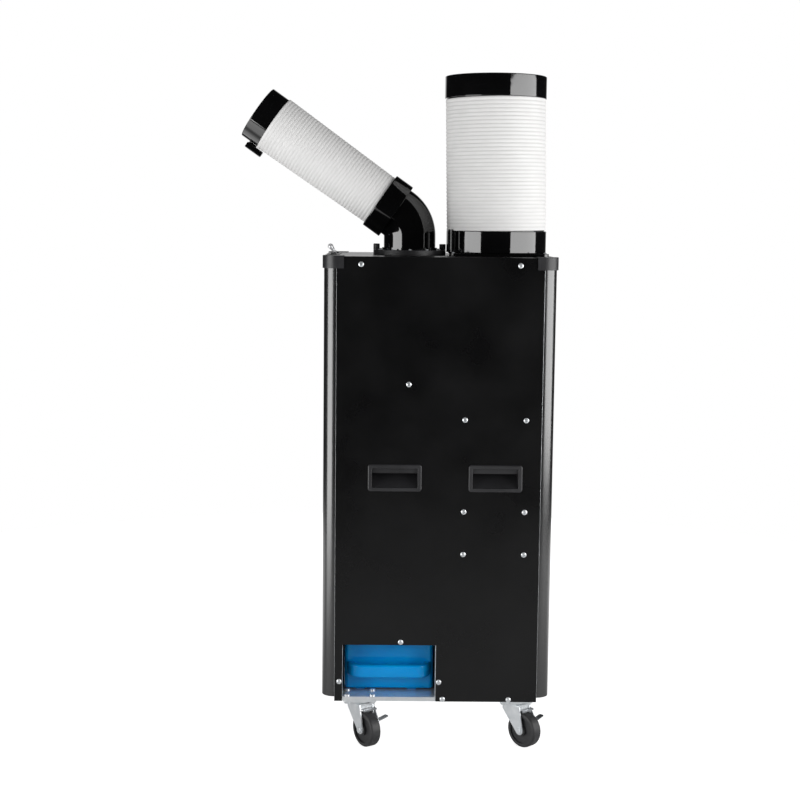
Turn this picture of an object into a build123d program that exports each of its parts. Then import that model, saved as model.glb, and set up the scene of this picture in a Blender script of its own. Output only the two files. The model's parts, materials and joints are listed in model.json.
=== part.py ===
from build123d import *

import math
import os

# Portable spot cooler on casters, with a swivelling cool-air nozzle and an upright exhaust hose.
# Millimetres. +Z is up and the floor is Z 0. The nozzle points to -X, the front.
# The water tank slides out to -Y. Work is done about the cabinet's centre, and the frame shift at
# the end puts the origin under the middle of the whole object.

# Clearances and stock
FIT = 0.3  # between pieces that seat on each other
RUN_FIT = 0.05  # radial, between a shaft and its bearing
SHEET = 1.2  # cabinet sheet metal
EDGE = 1.0  # small rounding on moulded edges
CUFF_EDGE = 1.5  # rounding on cuff rims and knobs
SOFT_EDGE = 2.0  # rounding on sleeves and clip bars

# Cabinet
BODY_LENGTH = 484.0  # X, over the corner posts
BODY_WIDTH = 400.0  # Y, over the side panels
SKIRT_HEIGHT = 25.0
SHELL_DROP = 4.0  # posts and panels end this far under the cover sheet
POST_RADIUS = 27.0
POST_WALL = 2.0
POST_FLANGE = 14.0
CAP_PROUD = 3.0  # corner caps stand out past posts and panels
CAP_ARM = 45.0
CAP_RISE = 1.5  # above the cover sheet
CAP_TOP_WALL = 2.5
BASE_LIP = 9.0
BASE_FLANGE = 62.0  # return flange that carries the casters

# Tank bay in the tank-side panel
BAY_LEG = 16.4  # panel left standing at the front of the bay
BAY_WIDTH = 199.0
BAY_HEIGHT = 122.8  # above the panel's lower edge
BAY_HEM = 12.0

# Grip cups
GRIP_X = (-91.0, 120.0)
GRIP_Z = 582.0
GRIP_BEZEL_LENGTH = 113.0
GRIP_BEZEL_HEIGHT = 57.5
GRIP_BEZEL_PROUD = 3.2
GRIP_BEZEL_CORNER = 6.0
GRIP_BEZEL_EDGE = 2.8
GRIP_MOUTH_LENGTH = 96.0
GRIP_MOUTH_HEIGHT = 41.0
GRIP_DEPTH = 36.0
GRIP_WALL = 2.5
GRIP_LIP_FRONT = 4.0  # the lip starts this far inside the mouth
GRIP_LIP_THICKNESS = 8.0
GRIP_LIP_HEIGHT = 10.5
GRIP_POCKET_RISE = 3.5  # pocket behind the lip, above the mouth
GRIP_RAMP_RISE = 24.0

# Panel screws, places on the side panels
SCREW_HEAD_RADIUS = 5.7
SCREW_HEAD_HEIGHT = 2.8
SCREW_RADIUS = 2.2
SCREW_LENGTH = 6.0
SCREW_DOME = ((5.3, 1.4), (3.4, 2.5))  # radius and height of points on the domed head
SCREW_CROSS_REACH = 3.1
SCREW_CROSS_HALF = 1.1
SCREW_CROSS_FLOOR = 1.1
SKIRT_SCREW_X = 164.5
SKIRT_SCREW_RISE = 9.0  # above the skirt's lower edge
BRACKET_SCREW_SPAN = 127.8  # between the two columns of bracket screws
BRACKET_SCREW_END_GAP = 32.7  # second column to the panel's rear edge
BRACKET_SCREW_Z = (420.0, 511.0, 705.5)
SCROLL_SCREW = (-63.5, 779.0)
SILL_SCREW_BAY_GAP = 14.6  # bay edge to the first sill screw
SILL_SCREW_END_GAP = 59.6  # second sill screw to the panel's rear edge
SILL_SCREW_RISE = 5.0  # above the panel's lower edge
BAY_SIDE_SCREW_GAP = 6.3  # bay edge to the screws beside it
BAY_SIDE_SCREW_RISE = 42.4
BAY_TOP_SCREW = (123.6, 6.4)  # from the bay's front edge, above the bay

# Water tank
TANK_SIDE_GAP = 3.4  # to the bay edges
TANK_FRONT_SET = 50.0  # front wall behind the panel's face
TANK_DEPTH = 300.0
TANK_HEIGHT = 104.5
TANK_WALL = 2.5
TANK_CORNER = 9.0
TANK_FLOOR_EDGE = 4.6
TANK_RUNNER_HEIGHT = 3.5
TANK_RUNNER_WIDTH = 20.0
TANK_RUNNER_X = (25.4, 135.4)  # from the tank's front side
TANK_HANDLE_INSET = 6.5
TANK_HANDLE_REACH = 34.0  # in front of the tank's wall
TANK_HANDLE_BEND = 33.0  # outer radius where the bar bows back to the tank
TANK_HANDLE_BAR = 16.0
TANK_HANDLE_HEIGHT = 27.6
TANK_HANDLE_RISE = 46.4  # middle of the bar above the tank's floor
TANK_HANDLE_EDGE = 4.0
TANK_HANDLE_ROOT = 1.25  # handle and runners reach this far into the tank's wall

# Casters
CASTER_HEIGHT = 100.0
CASTER_FRONT_INSET = 54.0  # swivel axis from the panel's front edge
CASTER_REAR_INSET = 42.0
CASTER_SIDE_INSET = 29.0  # swivel axis from the side panel's face
CASTER_PLATE_LENGTH = 70.0
CASTER_PLATE_WIDTH = 56.0
CASTER_PLATE = 3.0
CASTER_PLATE_CORNER = 6.0
CASTER_BOLT_X = 54.0
CASTER_BOLT_Y = 37.0
CASTER_BOLT_RADIUS = 3.0
CASTER_BOLT_HEAD = 6.0
CASTER_BOLT_HEAD_HEIGHT = 3.5
CASTER_BOLT_CROWN = 2.1
CASTER_NUT_HEIGHT = 5.0
RACE_RADIUS = 24.0
RACE_HEIGHT = 5.2
RACE_EDGE = 2.0
KINGPIN_RADIUS = 5.0
KINGPIN_HEAD = 9.0
KINGPIN_HEAD_HEIGHT = 3.5
WHEEL_RADIUS = 37.5
WHEEL_WIDTH = 25.0
WHEEL_EDGE = 5.0
WHEEL_RECESS = 4.0
WHEEL_HUB_RADIUS = 12.0
WHEEL_RIM_WALL = 9.0
HUB_GAP = 0.5  # hub face to fork leg
HUB_PROUD = 2.0  # hub past the tyre
TRAIL = 27.0
FORK_WALL = 3.0
FORK_EDGE = 2.4
FORK_CROWN = 4.5
FORK_APRON = 8.0  # crown's rear edge, folded down over the wheel
FORK_FRONT = 20.0
FORK_BACK = 25.0
FORK_SHOULDER = 13.5
FORK_FOOT = 9.0
AXLE_RADIUS = 4.0
AXLE_HEAD = 6.5
AXLE_HEAD_HEIGHT = 3.5
CASTER_TURN = (55.0, 45.0)  # how far the front and rear casters trail outwards, in degrees

# Caster brake lever, on the two tank-side casters
BRAKE_PIVOT_X = 20.0
BRAKE_PIVOT_DROP = 9.5  # under the crown's top
BRAKE_PIVOT_RADIUS = 3.0
BRAKE_STUD_HEAD = 4.5
BRAKE_PLATE = 2.0
BRAKE_EYE = 6.0
BRAKE_FOOT_X = 38.0
BRAKE_FOOT_DROP = 28.0  # lever end under its pivot
BRAKE_FOOT_RADIUS = 6.5
BRAKE_SHOE_WIDTH = 5.0
BRAKE_SHOE_GAP = 2.6  # to the tyre
BRAKE_SHOE_THICKNESS = 3.5
BRAKE_SHOE_BEHIND = 5.2  # behind the crown, clear of the slanting fork leg
BRAKE_TREAD_WIDTH = 6.0
BRAKE_TREAD_LENGTH = 26.0
BRAKE_TREAD_TILT = 14.0

# Cool-air outlet
OUTLET_GAP = 3.9  # swivel ring to the exhaust's base plate
ELBOW_RADIUS = 56.5
ELBOW_WALL = 2.5
ELBOW_RISE = 39.9  # start of the bend above the cover
ELBOW_BEND_RADIUS = 60.0
ELBOW_TURN = 55.0
ELBOW_END = 26.0  # straight end past the bend
ELBOW_RIM_RADIUS = 68.0
ELBOW_RIM = 4.5
ELBOW_COLLAR_RADIUS = 60.5
ELBOW_COLLAR = 5.0
ELBOW_SPIGOT_RADIUS = 51.7
ELBOW_SPIGOT = 5.0
SWIVEL_RING_RADIUS = 79.0
SWIVEL_RING_HEIGHT = 5.9
KNOB_CIRCLE = 72.0
KNOB_COUNT = 2
KNOB_RADIUS = 7.0
KNOB_HEIGHT = 12.5
KNOB_SHANK = 2.5
KNOB_FLUTES = 8
COLD_CUFF_START = 5.7  # along the outlet axis from the end of the bend
COLD_CUFF_LENGTH = 43.7
COLD_CUFF_RADIUS = 64.75
COLD_HOSE_START_RADIUS = 57.5
COLD_HOSE_END_RADIUS = 63.0
COLD_HOSE_LENGTH = 304.6
COLD_HOSE_RIBS = 41
HOSE_RIB_DEPTH = 2.0
HOSE_RIB_FOOT = 0.1  # where a rib leaves the wall, as a share of the pitch
HOSE_RIB_CREST = 0.32  # where its crest starts
HOSE_WALL = 1.2
NOZZLE_RADIUS = 60.5
NOZZLE_LENGTH = 42.4
NOZZLE_WALL = 3.0
SPIGOT_LENGTH = 14.0
SPIGOT_WALL = 2.5
CLIP_WIDTH = 14.0
NOZZLE_CLIP_LENGTH = 40.5
NOZZLE_CLIP_OVERHANG = 17.0  # over the hose
NOZZLE_CLIP_STAND = 3.2  # bar off the cuff
NOZZLE_CLIP_BAR = 12.7
NOZZLE_CLIP_FOOT = 10.0
NOZZLE_CLIP_FOOT_SET = 3.0  # foot into the bar, and short of its end
CLIP_GAP = 0.1  # clip foot to the cuff

# Exhaust
EXHAUST_COIL_GAP = 7.3  # condenser blower to the coil behind it
EXHAUST_LEAN = 6.0  # the hose's top stands this far forward of its foot
EXHAUST_BASE_SIZE = 212.0
EXHAUST_BASE_CORNER = 12.0
EXHAUST_BASE_HEIGHT = 6.5
EXHAUST_BORE = 100.0
EXHAUST_CUFF_WALL = 3.3
EXHAUST_LOWER_RADIUS = 109.0
EXHAUST_LOWER_HEIGHT = 47.1
EXHAUST_HOSE_RADIUS = 108.15
EXHAUST_HOSE_LENGTH = 282.4
EXHAUST_HOSE_RIBS = 35
EXHAUST_TOP_RADIUS = 109.85
EXHAUST_TOP_HEIGHT = 47.0
CUFF_STEP = 4.0  # thickness of the shoulder inside a cuff
EXHAUST_CLIP_ANGLE = 205.0
EXHAUST_CLIP_HEIGHT = 48.0
EXHAUST_CLIP_BAR = 6.0
EXHAUST_CLIP_RISE = 1.5
GUARD_BARS = 6
GUARD_BAR = 3.0
GUARD_ROOT = 2.5  # bar ends into the plate

# Controls on top
STRIP_FRONT_SET = 4.0  # from the cabinet's front
STRIP_WIDTH = 26.0
STRIP_LENGTH = 240.0
STRIP_HEIGHT = 1.5
STRIP_CORNER = 6.0
BUTTON_Y = (-95.0, -70.0, -45.0)
BUTTON_LENGTH = 16.0
BUTTON_WIDTH = 12.0
BUTTON_HEIGHT = 6.0
BUTTON_PROUD = 1.8
BUTTON_EDGE = 0.5
TOGGLE_BODY_LENGTH = 24.0
TOGGLE_BODY_WIDTH = 14.0
TOGGLE_BODY_HEIGHT = 20.0
TOGGLE_NECK = 6.5
TOGGLE_FLANGE = 8.5
TOGGLE_FLANGE_HEIGHT = 2.2
TOGGLE_BALL = 4.2
TOGGLE_PIN = 1.2
TOGGLE_PIN_REACH = 4.25  # pin ends from the ball's middle
TOGGLE_STEM = 2.2
TOGGLE_TIP = 6.0
TOGGLE_REACH = 16.0  # ball middle to tip middle
TOGGLE_LEAN = 38.0

# Air intakes at front and rear
INTAKE_HALF_WIDTH = 150.0
INTAKE_DECK_GAP = 32.0  # above the partition deck
INTAKE_TOP_GAP = 43.0  # under the cover's upper face
INTAKE_DEPTH = 10.0
SLOT_PITCH = 14.0
SLOT_WIDTH = 7.0
SLOT_MARGIN = 14.0
FILTER_FRAME = 12.0
FILTER_BAR = 4.0
FILTER_SHEET = 0.8
FILTER_COLUMNS = 4
FILTER_ROWS = 5
INLET_SIDE_SET = 80.0  # middle of the inlet from the tank side
INLET_Z = 190.0
INLET_LENGTH = 30.0
INLET_HEIGHT = 24.0
INLET_BEZEL = 3.0
INLET_DEPTH = 18.0
INLET_PROUD = 1.5
INLET_WALL = 2.5
INLET_CONTACT_HALF_Y = 0.8
INLET_CONTACT_HALF_Z = 1.8

# Inside
DECK_Z = 528.0
TONGUE_HALF_WIDTH = 155.0
COIL_HALF_WIDTH = 150.0
COIL_HEIGHT = 478.0
COIL_HEADROOM = 34.3  # coils to the cover's upper face
COIL_THICKNESS = 34.0
COIL_FIN = 1.6
COIL_PITCH = 10.0
COIL_SPINE = 3.0
TRAY_WALL = 1.5
TRAY_HEIGHT = 13.0
TRAY_APRON = 26.0  # tray past the coil, over the spout
SPOUT_RADIUS = 7.0
SPOUT_BORE = 5.0
SPOUT_ABOVE_TANK = 8.0
SHAFT_Z = 700.0
SHAFT_RADIUS = 6.0
SHAFT_END = 8.0  # shaft past each wheel
EVAPORATOR_SCROLL_RADIUS = 130.0
EVAPORATOR_SCROLL_WIDTH = 110.0
EVAPORATOR_NECK = 116.0
EVAPORATOR_WHEEL = 88.0
CONDENSER_SCROLL_RADIUS = 140.0
CONDENSER_SCROLL_WIDTH = 117.0
CONDENSER_NECK = 140.0
CONDENSER_WHEEL = 100.0
SCROLL_WALL = 1.5
SCROLL_FOOT = 90.0
WHEEL_SIDE_GAP = 12.0  # blower wheel to the scroll's sides
WHEEL_DISC = 2.5
WHEEL_BLADES = 20
WHEEL_BLADE = 2.0
WHEEL_BLADE_DEPTH = 16.0
WHEEL_BLADE_INSET = 0.5  # blade edges inside the rings
WHEEL_HUB = 12.0
WHEEL_HUB_GAP = 2.0  # hub to the scroll's back
WHEEL_HUB_SHARE = 1 / 3  # of the wheel's width
MOTOR_GAP = 4.0  # to the scrolls
MOTOR_RADIUS = 55.0
MOTOR_EDGE = 4.0
MOTOR_FOOT = 60.0
COMPRESSOR_X = 115.0
COMPRESSOR_Y = 40.0
COMPRESSOR_RADIUS = 68.0
COMPRESSOR_HEIGHT = 250.0
COMPRESSOR_DOME = 30.0
COMPRESSOR_WALL = 12.0
COMPRESSOR_FOOT = 150.0
COMPRESSOR_FOOT_THICKNESS = 4.0
COMPRESSOR_GROMMET = 12.0
COMPRESSOR_GROMMET_HEIGHT = 14.0
ACCUMULATOR_X = 30.0
ACCUMULATOR_Y = 120.0
ACCUMULATOR_RADIUS = 26.0
ACCUMULATOR_DOME = 15.0
ACCUMULATOR_LINK = 30.0  # link pipe above the flask's foot
ACCUMULATOR_LOW = 200.0
ACCUMULATOR_HIGH = 360.0
PIPE_RADIUS = 5.0
PIPE_WALL = 1.0
PIPE_BEND = 18.0
PIPE_LEVEL = 450.0  # run under the deck
PIPE_ENTRY = 620.0  # where pipes meet the coils
SUCTION_X = -140.0
DISCHARGE_Y = 148.0
LIQUID_Y = -146.0
LIQUID_Z = 640.0
DRIER_RADIUS = 10.0
DRIER_LENGTH = 70.0
BOX_MARGIN = 8.0  # electrical box past its screws
BOX_DEPTH = 68.0
BOX_WALL = 1.5

# Worked out from the sizes above
HALF_X = BODY_LENGTH / 2
HALF_Y = BODY_WIDTH / 2
PANEL_BACK = HALF_Y - SHEET
POST_FACE = PANEL_BACK - FIT
PANEL_HALF = HALF_X - POST_RADIUS
DECK_TOP = DECK_Z + SHEET
COVER_TOP = DECK_TOP + TRAY_WALL + COIL_HEIGHT + COIL_HEADROOM
PANEL_LOW = CASTER_HEIGHT
BASE_TOP = CASTER_HEIGHT + BASE_LIP
COVER_UNDER = COVER_TOP - SHEET
SHELL_TOP = COVER_UNDER - SHELL_DROP
SKIRT_LOW = COVER_TOP - SKIRT_HEIGHT
CAP_X = HALF_X + CAP_PROUD
CAP_Y = HALF_Y + CAP_PROUD
END_FACE = HALF_X - POST_WALL - FIT  # outer face of the front and rear panels
BAY_FRONT = -PANEL_HALF + BAY_LEG
BAY_REAR = BAY_FRONT + BAY_WIDTH
BAY_TOP = PANEL_LOW + BAY_HEIGHT
TANK_FRONT_X = BAY_FRONT + TANK_SIDE_GAP
TANK_REAR_X = BAY_REAR - TANK_SIDE_GAP
TANK_Y = -HALF_Y + TANK_FRONT_SET
TANK_Z = BASE_TOP + FIT + TANK_RUNNER_HEIGHT
TANK_TOP = TANK_Z + TANK_HEIGHT
SILL_SCREW_X = (BAY_REAR + SILL_SCREW_BAY_GAP, PANEL_HALF - SILL_SCREW_END_GAP)
BRACKET_SCREW_REAR = PANEL_HALF - BRACKET_SCREW_END_GAP
BRACKET_SCREW_X = (BRACKET_SCREW_REAR - BRACKET_SCREW_SPAN, BRACKET_SCREW_REAR)
INTAKE_LOW = DECK_Z + INTAKE_DECK_GAP
INTAKE_HIGH = COVER_TOP - INTAKE_TOP_GAP
INLET_Y = -HALF_Y + INLET_SIDE_SET
COIL_BACK = END_FACE - INTAKE_DEPTH - SHEET - 2 * FIT - TRAY_WALL
COIL_FRONT = COIL_BACK - COIL_THICKNESS
EXHAUST_X = COIL_FRONT - EXHAUST_COIL_GAP - CONDENSER_SCROLL_WIDTH / 2
ELBOW_X = EXHAUST_X - EXHAUST_BASE_SIZE / 2 - OUTLET_GAP - SWIVEL_RING_RADIUS
HUB_HALF = WHEEL_WIDTH / 2 + HUB_PROUD
LEG_INNER = HUB_HALF + HUB_GAP
LEG_OUTER = LEG_INNER + FORK_WALL
CASTER_PLATE_LOW = CASTER_HEIGHT - CASTER_PLATE
RACE_LOW = CASTER_PLATE_LOW - RACE_HEIGHT
CROWN_TOP = RACE_LOW - FIT
CROWN_LOW = CROWN_TOP - FORK_CROWN
BRAKE_PIVOT_Z = CROWN_TOP - BRAKE_PIVOT_DROP
RING_TOP = COVER_TOP + SWIVEL_RING_HEIGHT
RIM_LOW = RING_TOP + FIT
RIM_TOP = RIM_LOW + ELBOW_RIM
BEND_Z = COVER_TOP + ELBOW_RISE
TURN = math.radians(ELBOW_TURN)
OUTLET_X = ELBOW_X - ELBOW_BEND_RADIUS * (1 - math.cos(TURN))
OUTLET_Z = BEND_Z + ELBOW_BEND_RADIUS * math.sin(TURN)
OUTLET = Plane(
    origin=(OUTLET_X, 0, OUTLET_Z),
    x_dir=(0, 1, 0),
    z_dir=(-math.sin(TURN), 0, math.cos(TURN)),
)
COLD_HOSE_START = ELBOW_END + FIT
NOZZLE_START = COLD_HOSE_START + COLD_HOSE_LENGTH
NOZZLE_END = NOZZLE_START + NOZZLE_LENGTH
CUFF_LOW = COVER_TOP + EXHAUST_BASE_HEIGHT
HOSE_LOW = CUFF_LOW + EXHAUST_LOWER_HEIGHT
HOSE_HIGH = HOSE_LOW + EXHAUST_HOSE_LENGTH
EXHAUST_TOP_X = EXHAUST_X - EXHAUST_LEAN
EXHAUST_HOSE_BORE = EXHAUST_HOSE_RADIUS - HOSE_RIB_DEPTH - HOSE_WALL
EXHAUST_SPIGOT = EXHAUST_HOSE_BORE - 2 * FIT
STRIP_FRONT = -HALF_X + STRIP_FRONT_SET
STRIP_MIDDLE = STRIP_FRONT + STRIP_WIDTH / 2
STRIP_TOP = COVER_TOP + STRIP_HEIGHT
TOGGLE_Z = STRIP_TOP + TOGGLE_FLANGE_HEIGHT
SCROLL_TOP = COVER_UNDER - FIT
SIDE_SCREW_HOLE = SCREW_RADIUS + FIT
CASTER_X = (-PANEL_HALF + CASTER_FRONT_INSET, PANEL_HALF - CASTER_REAR_INSET)
CASTER_Y = HALF_Y - CASTER_SIDE_INSET
MOUTH_X = OUTLET_X - NOZZLE_END * math.sin(TURN) - NOZZLE_RADIUS * math.cos(TURN)
FRAME = Pos(-(MOUTH_X + CAP_X) / 2, 0, 0)


def block(x_span, y_span, z_span):
    """A box between pairs of limits."""
    spans = (x_span, y_span, z_span)
    middle = [(low + high) / 2 for low, high in spans]
    size = [abs(high - low) for low, high in spans]
    return Pos(*middle) * Box(*size)


def rod(start, end, radius):
    """A round bar from one point to another."""
    run = Vector(*end) - Vector(*start)
    bar = Cylinder(radius, run.length, align=(Align.CENTER, Align.CENTER, Align.MIN))
    return Plane(origin=start, z_dir=run) * bar


def upright(x, y, z_low, z_high, radius):
    """A round bar standing on end."""
    return rod((x, y, z_low), (x, y, z_high), radius)


def turned(outline):
    """A body of revolution about Z from a closed outline of (radius, height) points."""
    points = [(radius, 0, height) for radius, height in outline]
    return revolve(make_face(Polyline(*points, close=True)), axis=Axis.Z)


def rims(body, radius):
    """The circular edges of one radius."""
    circles = body.edges().filter_by(GeomType.CIRCLE)
    return [edge for edge in circles if abs(edge.radius - radius) < FIT / 2]


def group(pieces):
    """Separate solids that share one node."""
    return Compound([solid for piece in pieces for solid in piece.solids()])


def four_corners(piece):
    """The piece at the rear +Y corner and its three mirror images."""
    rear = [piece, mirror(piece, about=Plane.XZ)]
    return rear + [mirror(item, about=Plane.YZ) for item in rear]


def ribbed_tube(length, ribs, start_radius, end_radius, lean=0.0):
    """A ribbed hose along Z with its bore; the ribs swell from one end radius to the other."""
    pitch = length / ribs

    def section(height, inset):
        """One circle of the hose, inset from the rib crests."""
        share = height / length
        crest = start_radius + (end_radius - start_radius) * share
        return Pos(lean * share, 0, height) * Circle(crest - inset)

    profile = (
        (HOSE_RIB_FOOT, HOSE_RIB_DEPTH),
        (HOSE_RIB_CREST, 0.0),
        (1 - HOSE_RIB_CREST, 0.0),
        (1 - HOSE_RIB_FOOT, HOSE_RIB_DEPTH),
    )
    circles = [section(0.0, HOSE_RIB_DEPTH)]
    for rib in range(ribs):
        circles += [section((rib + place) * pitch, inset) for place, inset in profile]
    circles.append(section(length, HOSE_RIB_DEPTH))
    bore_inset = HOSE_RIB_DEPTH + HOSE_WALL
    bore = loft([section(0.0, bore_inset), section(length, bore_inset)], ruled=True)
    return loft(circles, ruled=True) - bore


# Side panels and their screws


def skirt_screws():
    """Places of the screws through the cover's skirt."""
    return [(x, SKIRT_LOW + SKIRT_SCREW_RISE) for x in (-SKIRT_SCREW_X, SKIRT_SCREW_X)]


def sill_screws():
    """Places of the screws into the base pan's edge."""
    return [(x, PANEL_LOW + SILL_SCREW_RISE) for x in SILL_SCREW_X]


def bay_side_screws():
    """Places of the screws on both sides of the tank bay."""
    height = PANEL_LOW + BAY_SIDE_SCREW_RISE
    return [(BAY_FRONT - BAY_SIDE_SCREW_GAP, height), (BAY_REAR + BAY_SIDE_SCREW_GAP, height)]


def bracket_screws():
    """Places of the screws that hold the brackets behind both side panels."""
    return [(x, z) for x in BRACKET_SCREW_X for z in BRACKET_SCREW_Z] + [SCROLL_SCREW]


def side_screws(side):
    """All screw places on one side; -1 is the tank side."""
    places = skirt_screws() + sill_screws() + bracket_screws()
    if side < 0:
        along, above = BAY_TOP_SCREW
        places = places + bay_side_screws() + [(BAY_FRONT + along, BAY_TOP + above)]
    return places


def screw_holes(side, places, inner, outer):
    """Clearance holes for screws through what lies between two distances from the middle."""
    holes = []
    for x, z in places:
        holes.append(rod((x, side * inner, z), (x, side * outer, z), SIDE_SCREW_HOLE))
    return holes


def side_panel(side):
    """One side panel with its screw holes and grip cut-outs."""
    panel = block((-PANEL_HALF, PANEL_HALF), (side * PANEL_BACK, side * HALF_Y), (PANEL_LOW, SHELL_TOP))
    half_hole = GRIP_MOUTH_LENGTH / 2 + GRIP_WALL + FIT
    low, high = grip_body_span()
    for x in GRIP_X:
        panel -= block(
            (x - half_hole, x + half_hole),
            (side * PANEL_BACK, side * HALF_Y),
            (GRIP_Z + low - FIT, GRIP_Z + high + FIT),
        )
    panel -= screw_holes(side, side_screws(side), PANEL_BACK, HALF_Y)
    return panel


def tank_side_panel():
    """The panel with the tank bay; its bay edges are hemmed inwards."""
    panel = side_panel(-1)
    panel -= block((BAY_FRONT, BAY_REAR), (-HALF_Y, -PANEL_BACK), (PANEL_LOW, BAY_TOP))
    hem_depth = (-PANEL_BACK, -PANEL_BACK + BAY_HEM)
    panel += block((BAY_FRONT, BAY_REAR), hem_depth, (BAY_TOP, BAY_TOP + SHEET))
    hem_low = BASE_TOP + FIT
    panel += block((BAY_REAR, BAY_REAR + SHEET), hem_depth, (hem_low, BAY_TOP + SHEET))
    return panel


def pan_head_screw(side, x, z, seat):
    """One domed screw with its head on a face at the given distance from the middle."""
    dome = [
        (0, -SCREW_LENGTH),
        (SCREW_RADIUS, -SCREW_LENGTH),
        (SCREW_RADIUS, 0),
        (SCREW_HEAD_RADIUS, 0),
        *SCREW_DOME,
        (0, SCREW_HEAD_HEIGHT),
    ]
    screw = turned(dome)
    reach = (-SCREW_CROSS_REACH, SCREW_CROSS_REACH)
    width = (-SCREW_CROSS_HALF, SCREW_CROSS_HALF)
    depth = (SCREW_CROSS_FLOOR, SCREW_HEAD_HEIGHT)
    screw -= block(reach, width, depth)
    screw -= block(width, reach, depth)
    return Plane(origin=(x, side * seat, z), x_dir=(1, 0, 0), z_dir=(0, side, 0)) * screw


def fasteners():
    """Panel screws on both sides and the caster bolts."""
    pieces = []
    for side in (-1, 1):
        for x, z in side_screws(side):
            over_skirt = (x, z) in skirt_screws()
            pieces.append(pan_head_screw(side, x, z, HALF_Y + SHEET if over_skirt else HALF_Y))
        for caster_x in CASTER_X:
            for x, y in caster_bolt_places(caster_x, side * CASTER_Y):
                pieces.append(caster_bolt(x, y))
    return group(pieces)


# Grip cups


def grip_body_span():
    """Lower and upper reach of a cup's body about its middle."""
    half = GRIP_MOUTH_HEIGHT / 2
    return -half - GRIP_WALL, half + GRIP_POCKET_RISE + GRIP_WALL


def grip_cup(x, side):
    """One recessed cup: bezel, sloped floor, and a lip with a pocket behind it for the fingers."""
    half = GRIP_MOUTH_HEIGHT / 2
    low, high = grip_body_span()
    section = Plane.YZ
    lip_back = GRIP_LIP_FRONT + GRIP_LIP_THICKNESS
    lip_low = half - GRIP_LIP_HEIGHT
    back = GRIP_DEPTH + GRIP_WALL
    body = Polyline(
        (0, low), (GRIP_LIP_FRONT, low), (back, low + GRIP_RAMP_RISE), (back, high), (0, high), close=True
    )
    pocket = Polyline(
        (-GRIP_BEZEL_PROUD, -half),
        (GRIP_LIP_FRONT / 2, -half),
        (GRIP_DEPTH, -half + GRIP_RAMP_RISE),
        (GRIP_DEPTH, half + GRIP_POCKET_RISE),
        (lip_back, half + GRIP_POCKET_RISE),
        (lip_back, lip_low),
        (GRIP_LIP_FRONT, lip_low),
        (GRIP_LIP_FRONT, half),
        (-GRIP_BEZEL_PROUD, half),
        close=True,
    )
    shell = extrude(section * make_face(body), GRIP_MOUTH_LENGTH / 2 + GRIP_WALL, both=True)
    face = RectangleRounded(GRIP_BEZEL_LENGTH, GRIP_BEZEL_HEIGHT, GRIP_BEZEL_CORNER)
    bezel = extrude(Plane(origin=(0, 0, 0), x_dir=(1, 0, 0), z_dir=(0, -1, 0)) * face, GRIP_BEZEL_PROUD)
    bezel = fillet(bezel.faces().sort_by(Axis.Y)[0].edges(), GRIP_BEZEL_EDGE)
    cup = bezel + shell - extrude(section * make_face(pocket), GRIP_MOUTH_LENGTH / 2, both=True)
    cup = fillet(cup.faces().sort_by(Axis.Y)[0].inner_wires()[0].edges(), EDGE)
    cup = Pos(x, -HALF_Y, GRIP_Z) * cup
    return cup if side < 0 else mirror(cup, about=Plane.XZ)


def grip_cups():
    """The four cups."""
    return group([grip_cup(x, side) for side in (-1, 1) for x in GRIP_X])


# Cabinet shell


def base_pan():
    """Folded pan: deck, lip all round and a return flange above the casters."""
    half_x = PANEL_HALF - FIT
    half_y = POST_FACE
    pan = block((-half_x, half_x), (-half_y, half_y), (PANEL_LOW, BASE_TOP))
    inner_x = half_x - SHEET
    inner_y = half_y - SHEET
    open_y = half_y - BASE_FLANGE
    flange_top = PANEL_LOW + SHEET
    pan -= block((-inner_x, inner_x), (-inner_y, inner_y), (flange_top, BASE_TOP - SHEET))
    pan -= block((-inner_x, inner_x), (-open_y, open_y), (PANEL_LOW, flange_top))
    for side in (-1, 1):
        pan -= screw_holes(side, sill_screws(), half_y - SCREW_LENGTH, half_y)
        for caster_x in CASTER_X:
            for x, y in caster_bolt_places(caster_x, side * CASTER_Y):
                pan -= upright(x, y, PANEL_LOW, BASE_TOP, CASTER_BOLT_RADIUS + FIT)
    return pan


def corner_post():
    """The rounded post at the rear +Y corner, with a flange behind each panel."""
    x_turn = HALF_X - POST_RADIUS
    y_turn = POST_FACE - POST_RADIUS
    inner = POST_RADIUS - POST_WALL
    arc = math.sqrt(0.5)
    outline = [
        Line((x_turn - POST_FLANGE, POST_FACE), (x_turn, POST_FACE)),
        ThreePointArc(
            (x_turn, POST_FACE),
            (x_turn + POST_RADIUS * arc, y_turn + POST_RADIUS * arc),
            (HALF_X, y_turn),
        ),
        Polyline(
            (HALF_X, y_turn),
            (HALF_X, y_turn - POST_FLANGE),
            (HALF_X - POST_WALL, y_turn - POST_FLANGE),
            (HALF_X - POST_WALL, y_turn),
        ),
        ThreePointArc(
            (HALF_X - POST_WALL, y_turn),
            (x_turn + inner * arc, y_turn + inner * arc),
            (x_turn, POST_FACE - POST_WALL),
        ),
        Polyline(
            (x_turn, POST_FACE - POST_WALL),
            (x_turn - POST_FLANGE, POST_FACE - POST_WALL),
            (x_turn - POST_FLANGE, POST_FACE),
        ),
    ]
    foot = BASE_TOP + FIT
    return extrude(Pos(0, 0, foot) * make_face(outline), SHELL_TOP - foot)


def corner_posts():
    """The four posts, drilled where a bay screw passes."""
    posts = []
    for post in four_corners(corner_post()):
        holes = screw_holes(-1, bay_side_screws(), POST_FACE - POST_WALL, POST_FACE)
        posts.append(post - holes)
    return group(posts)


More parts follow.
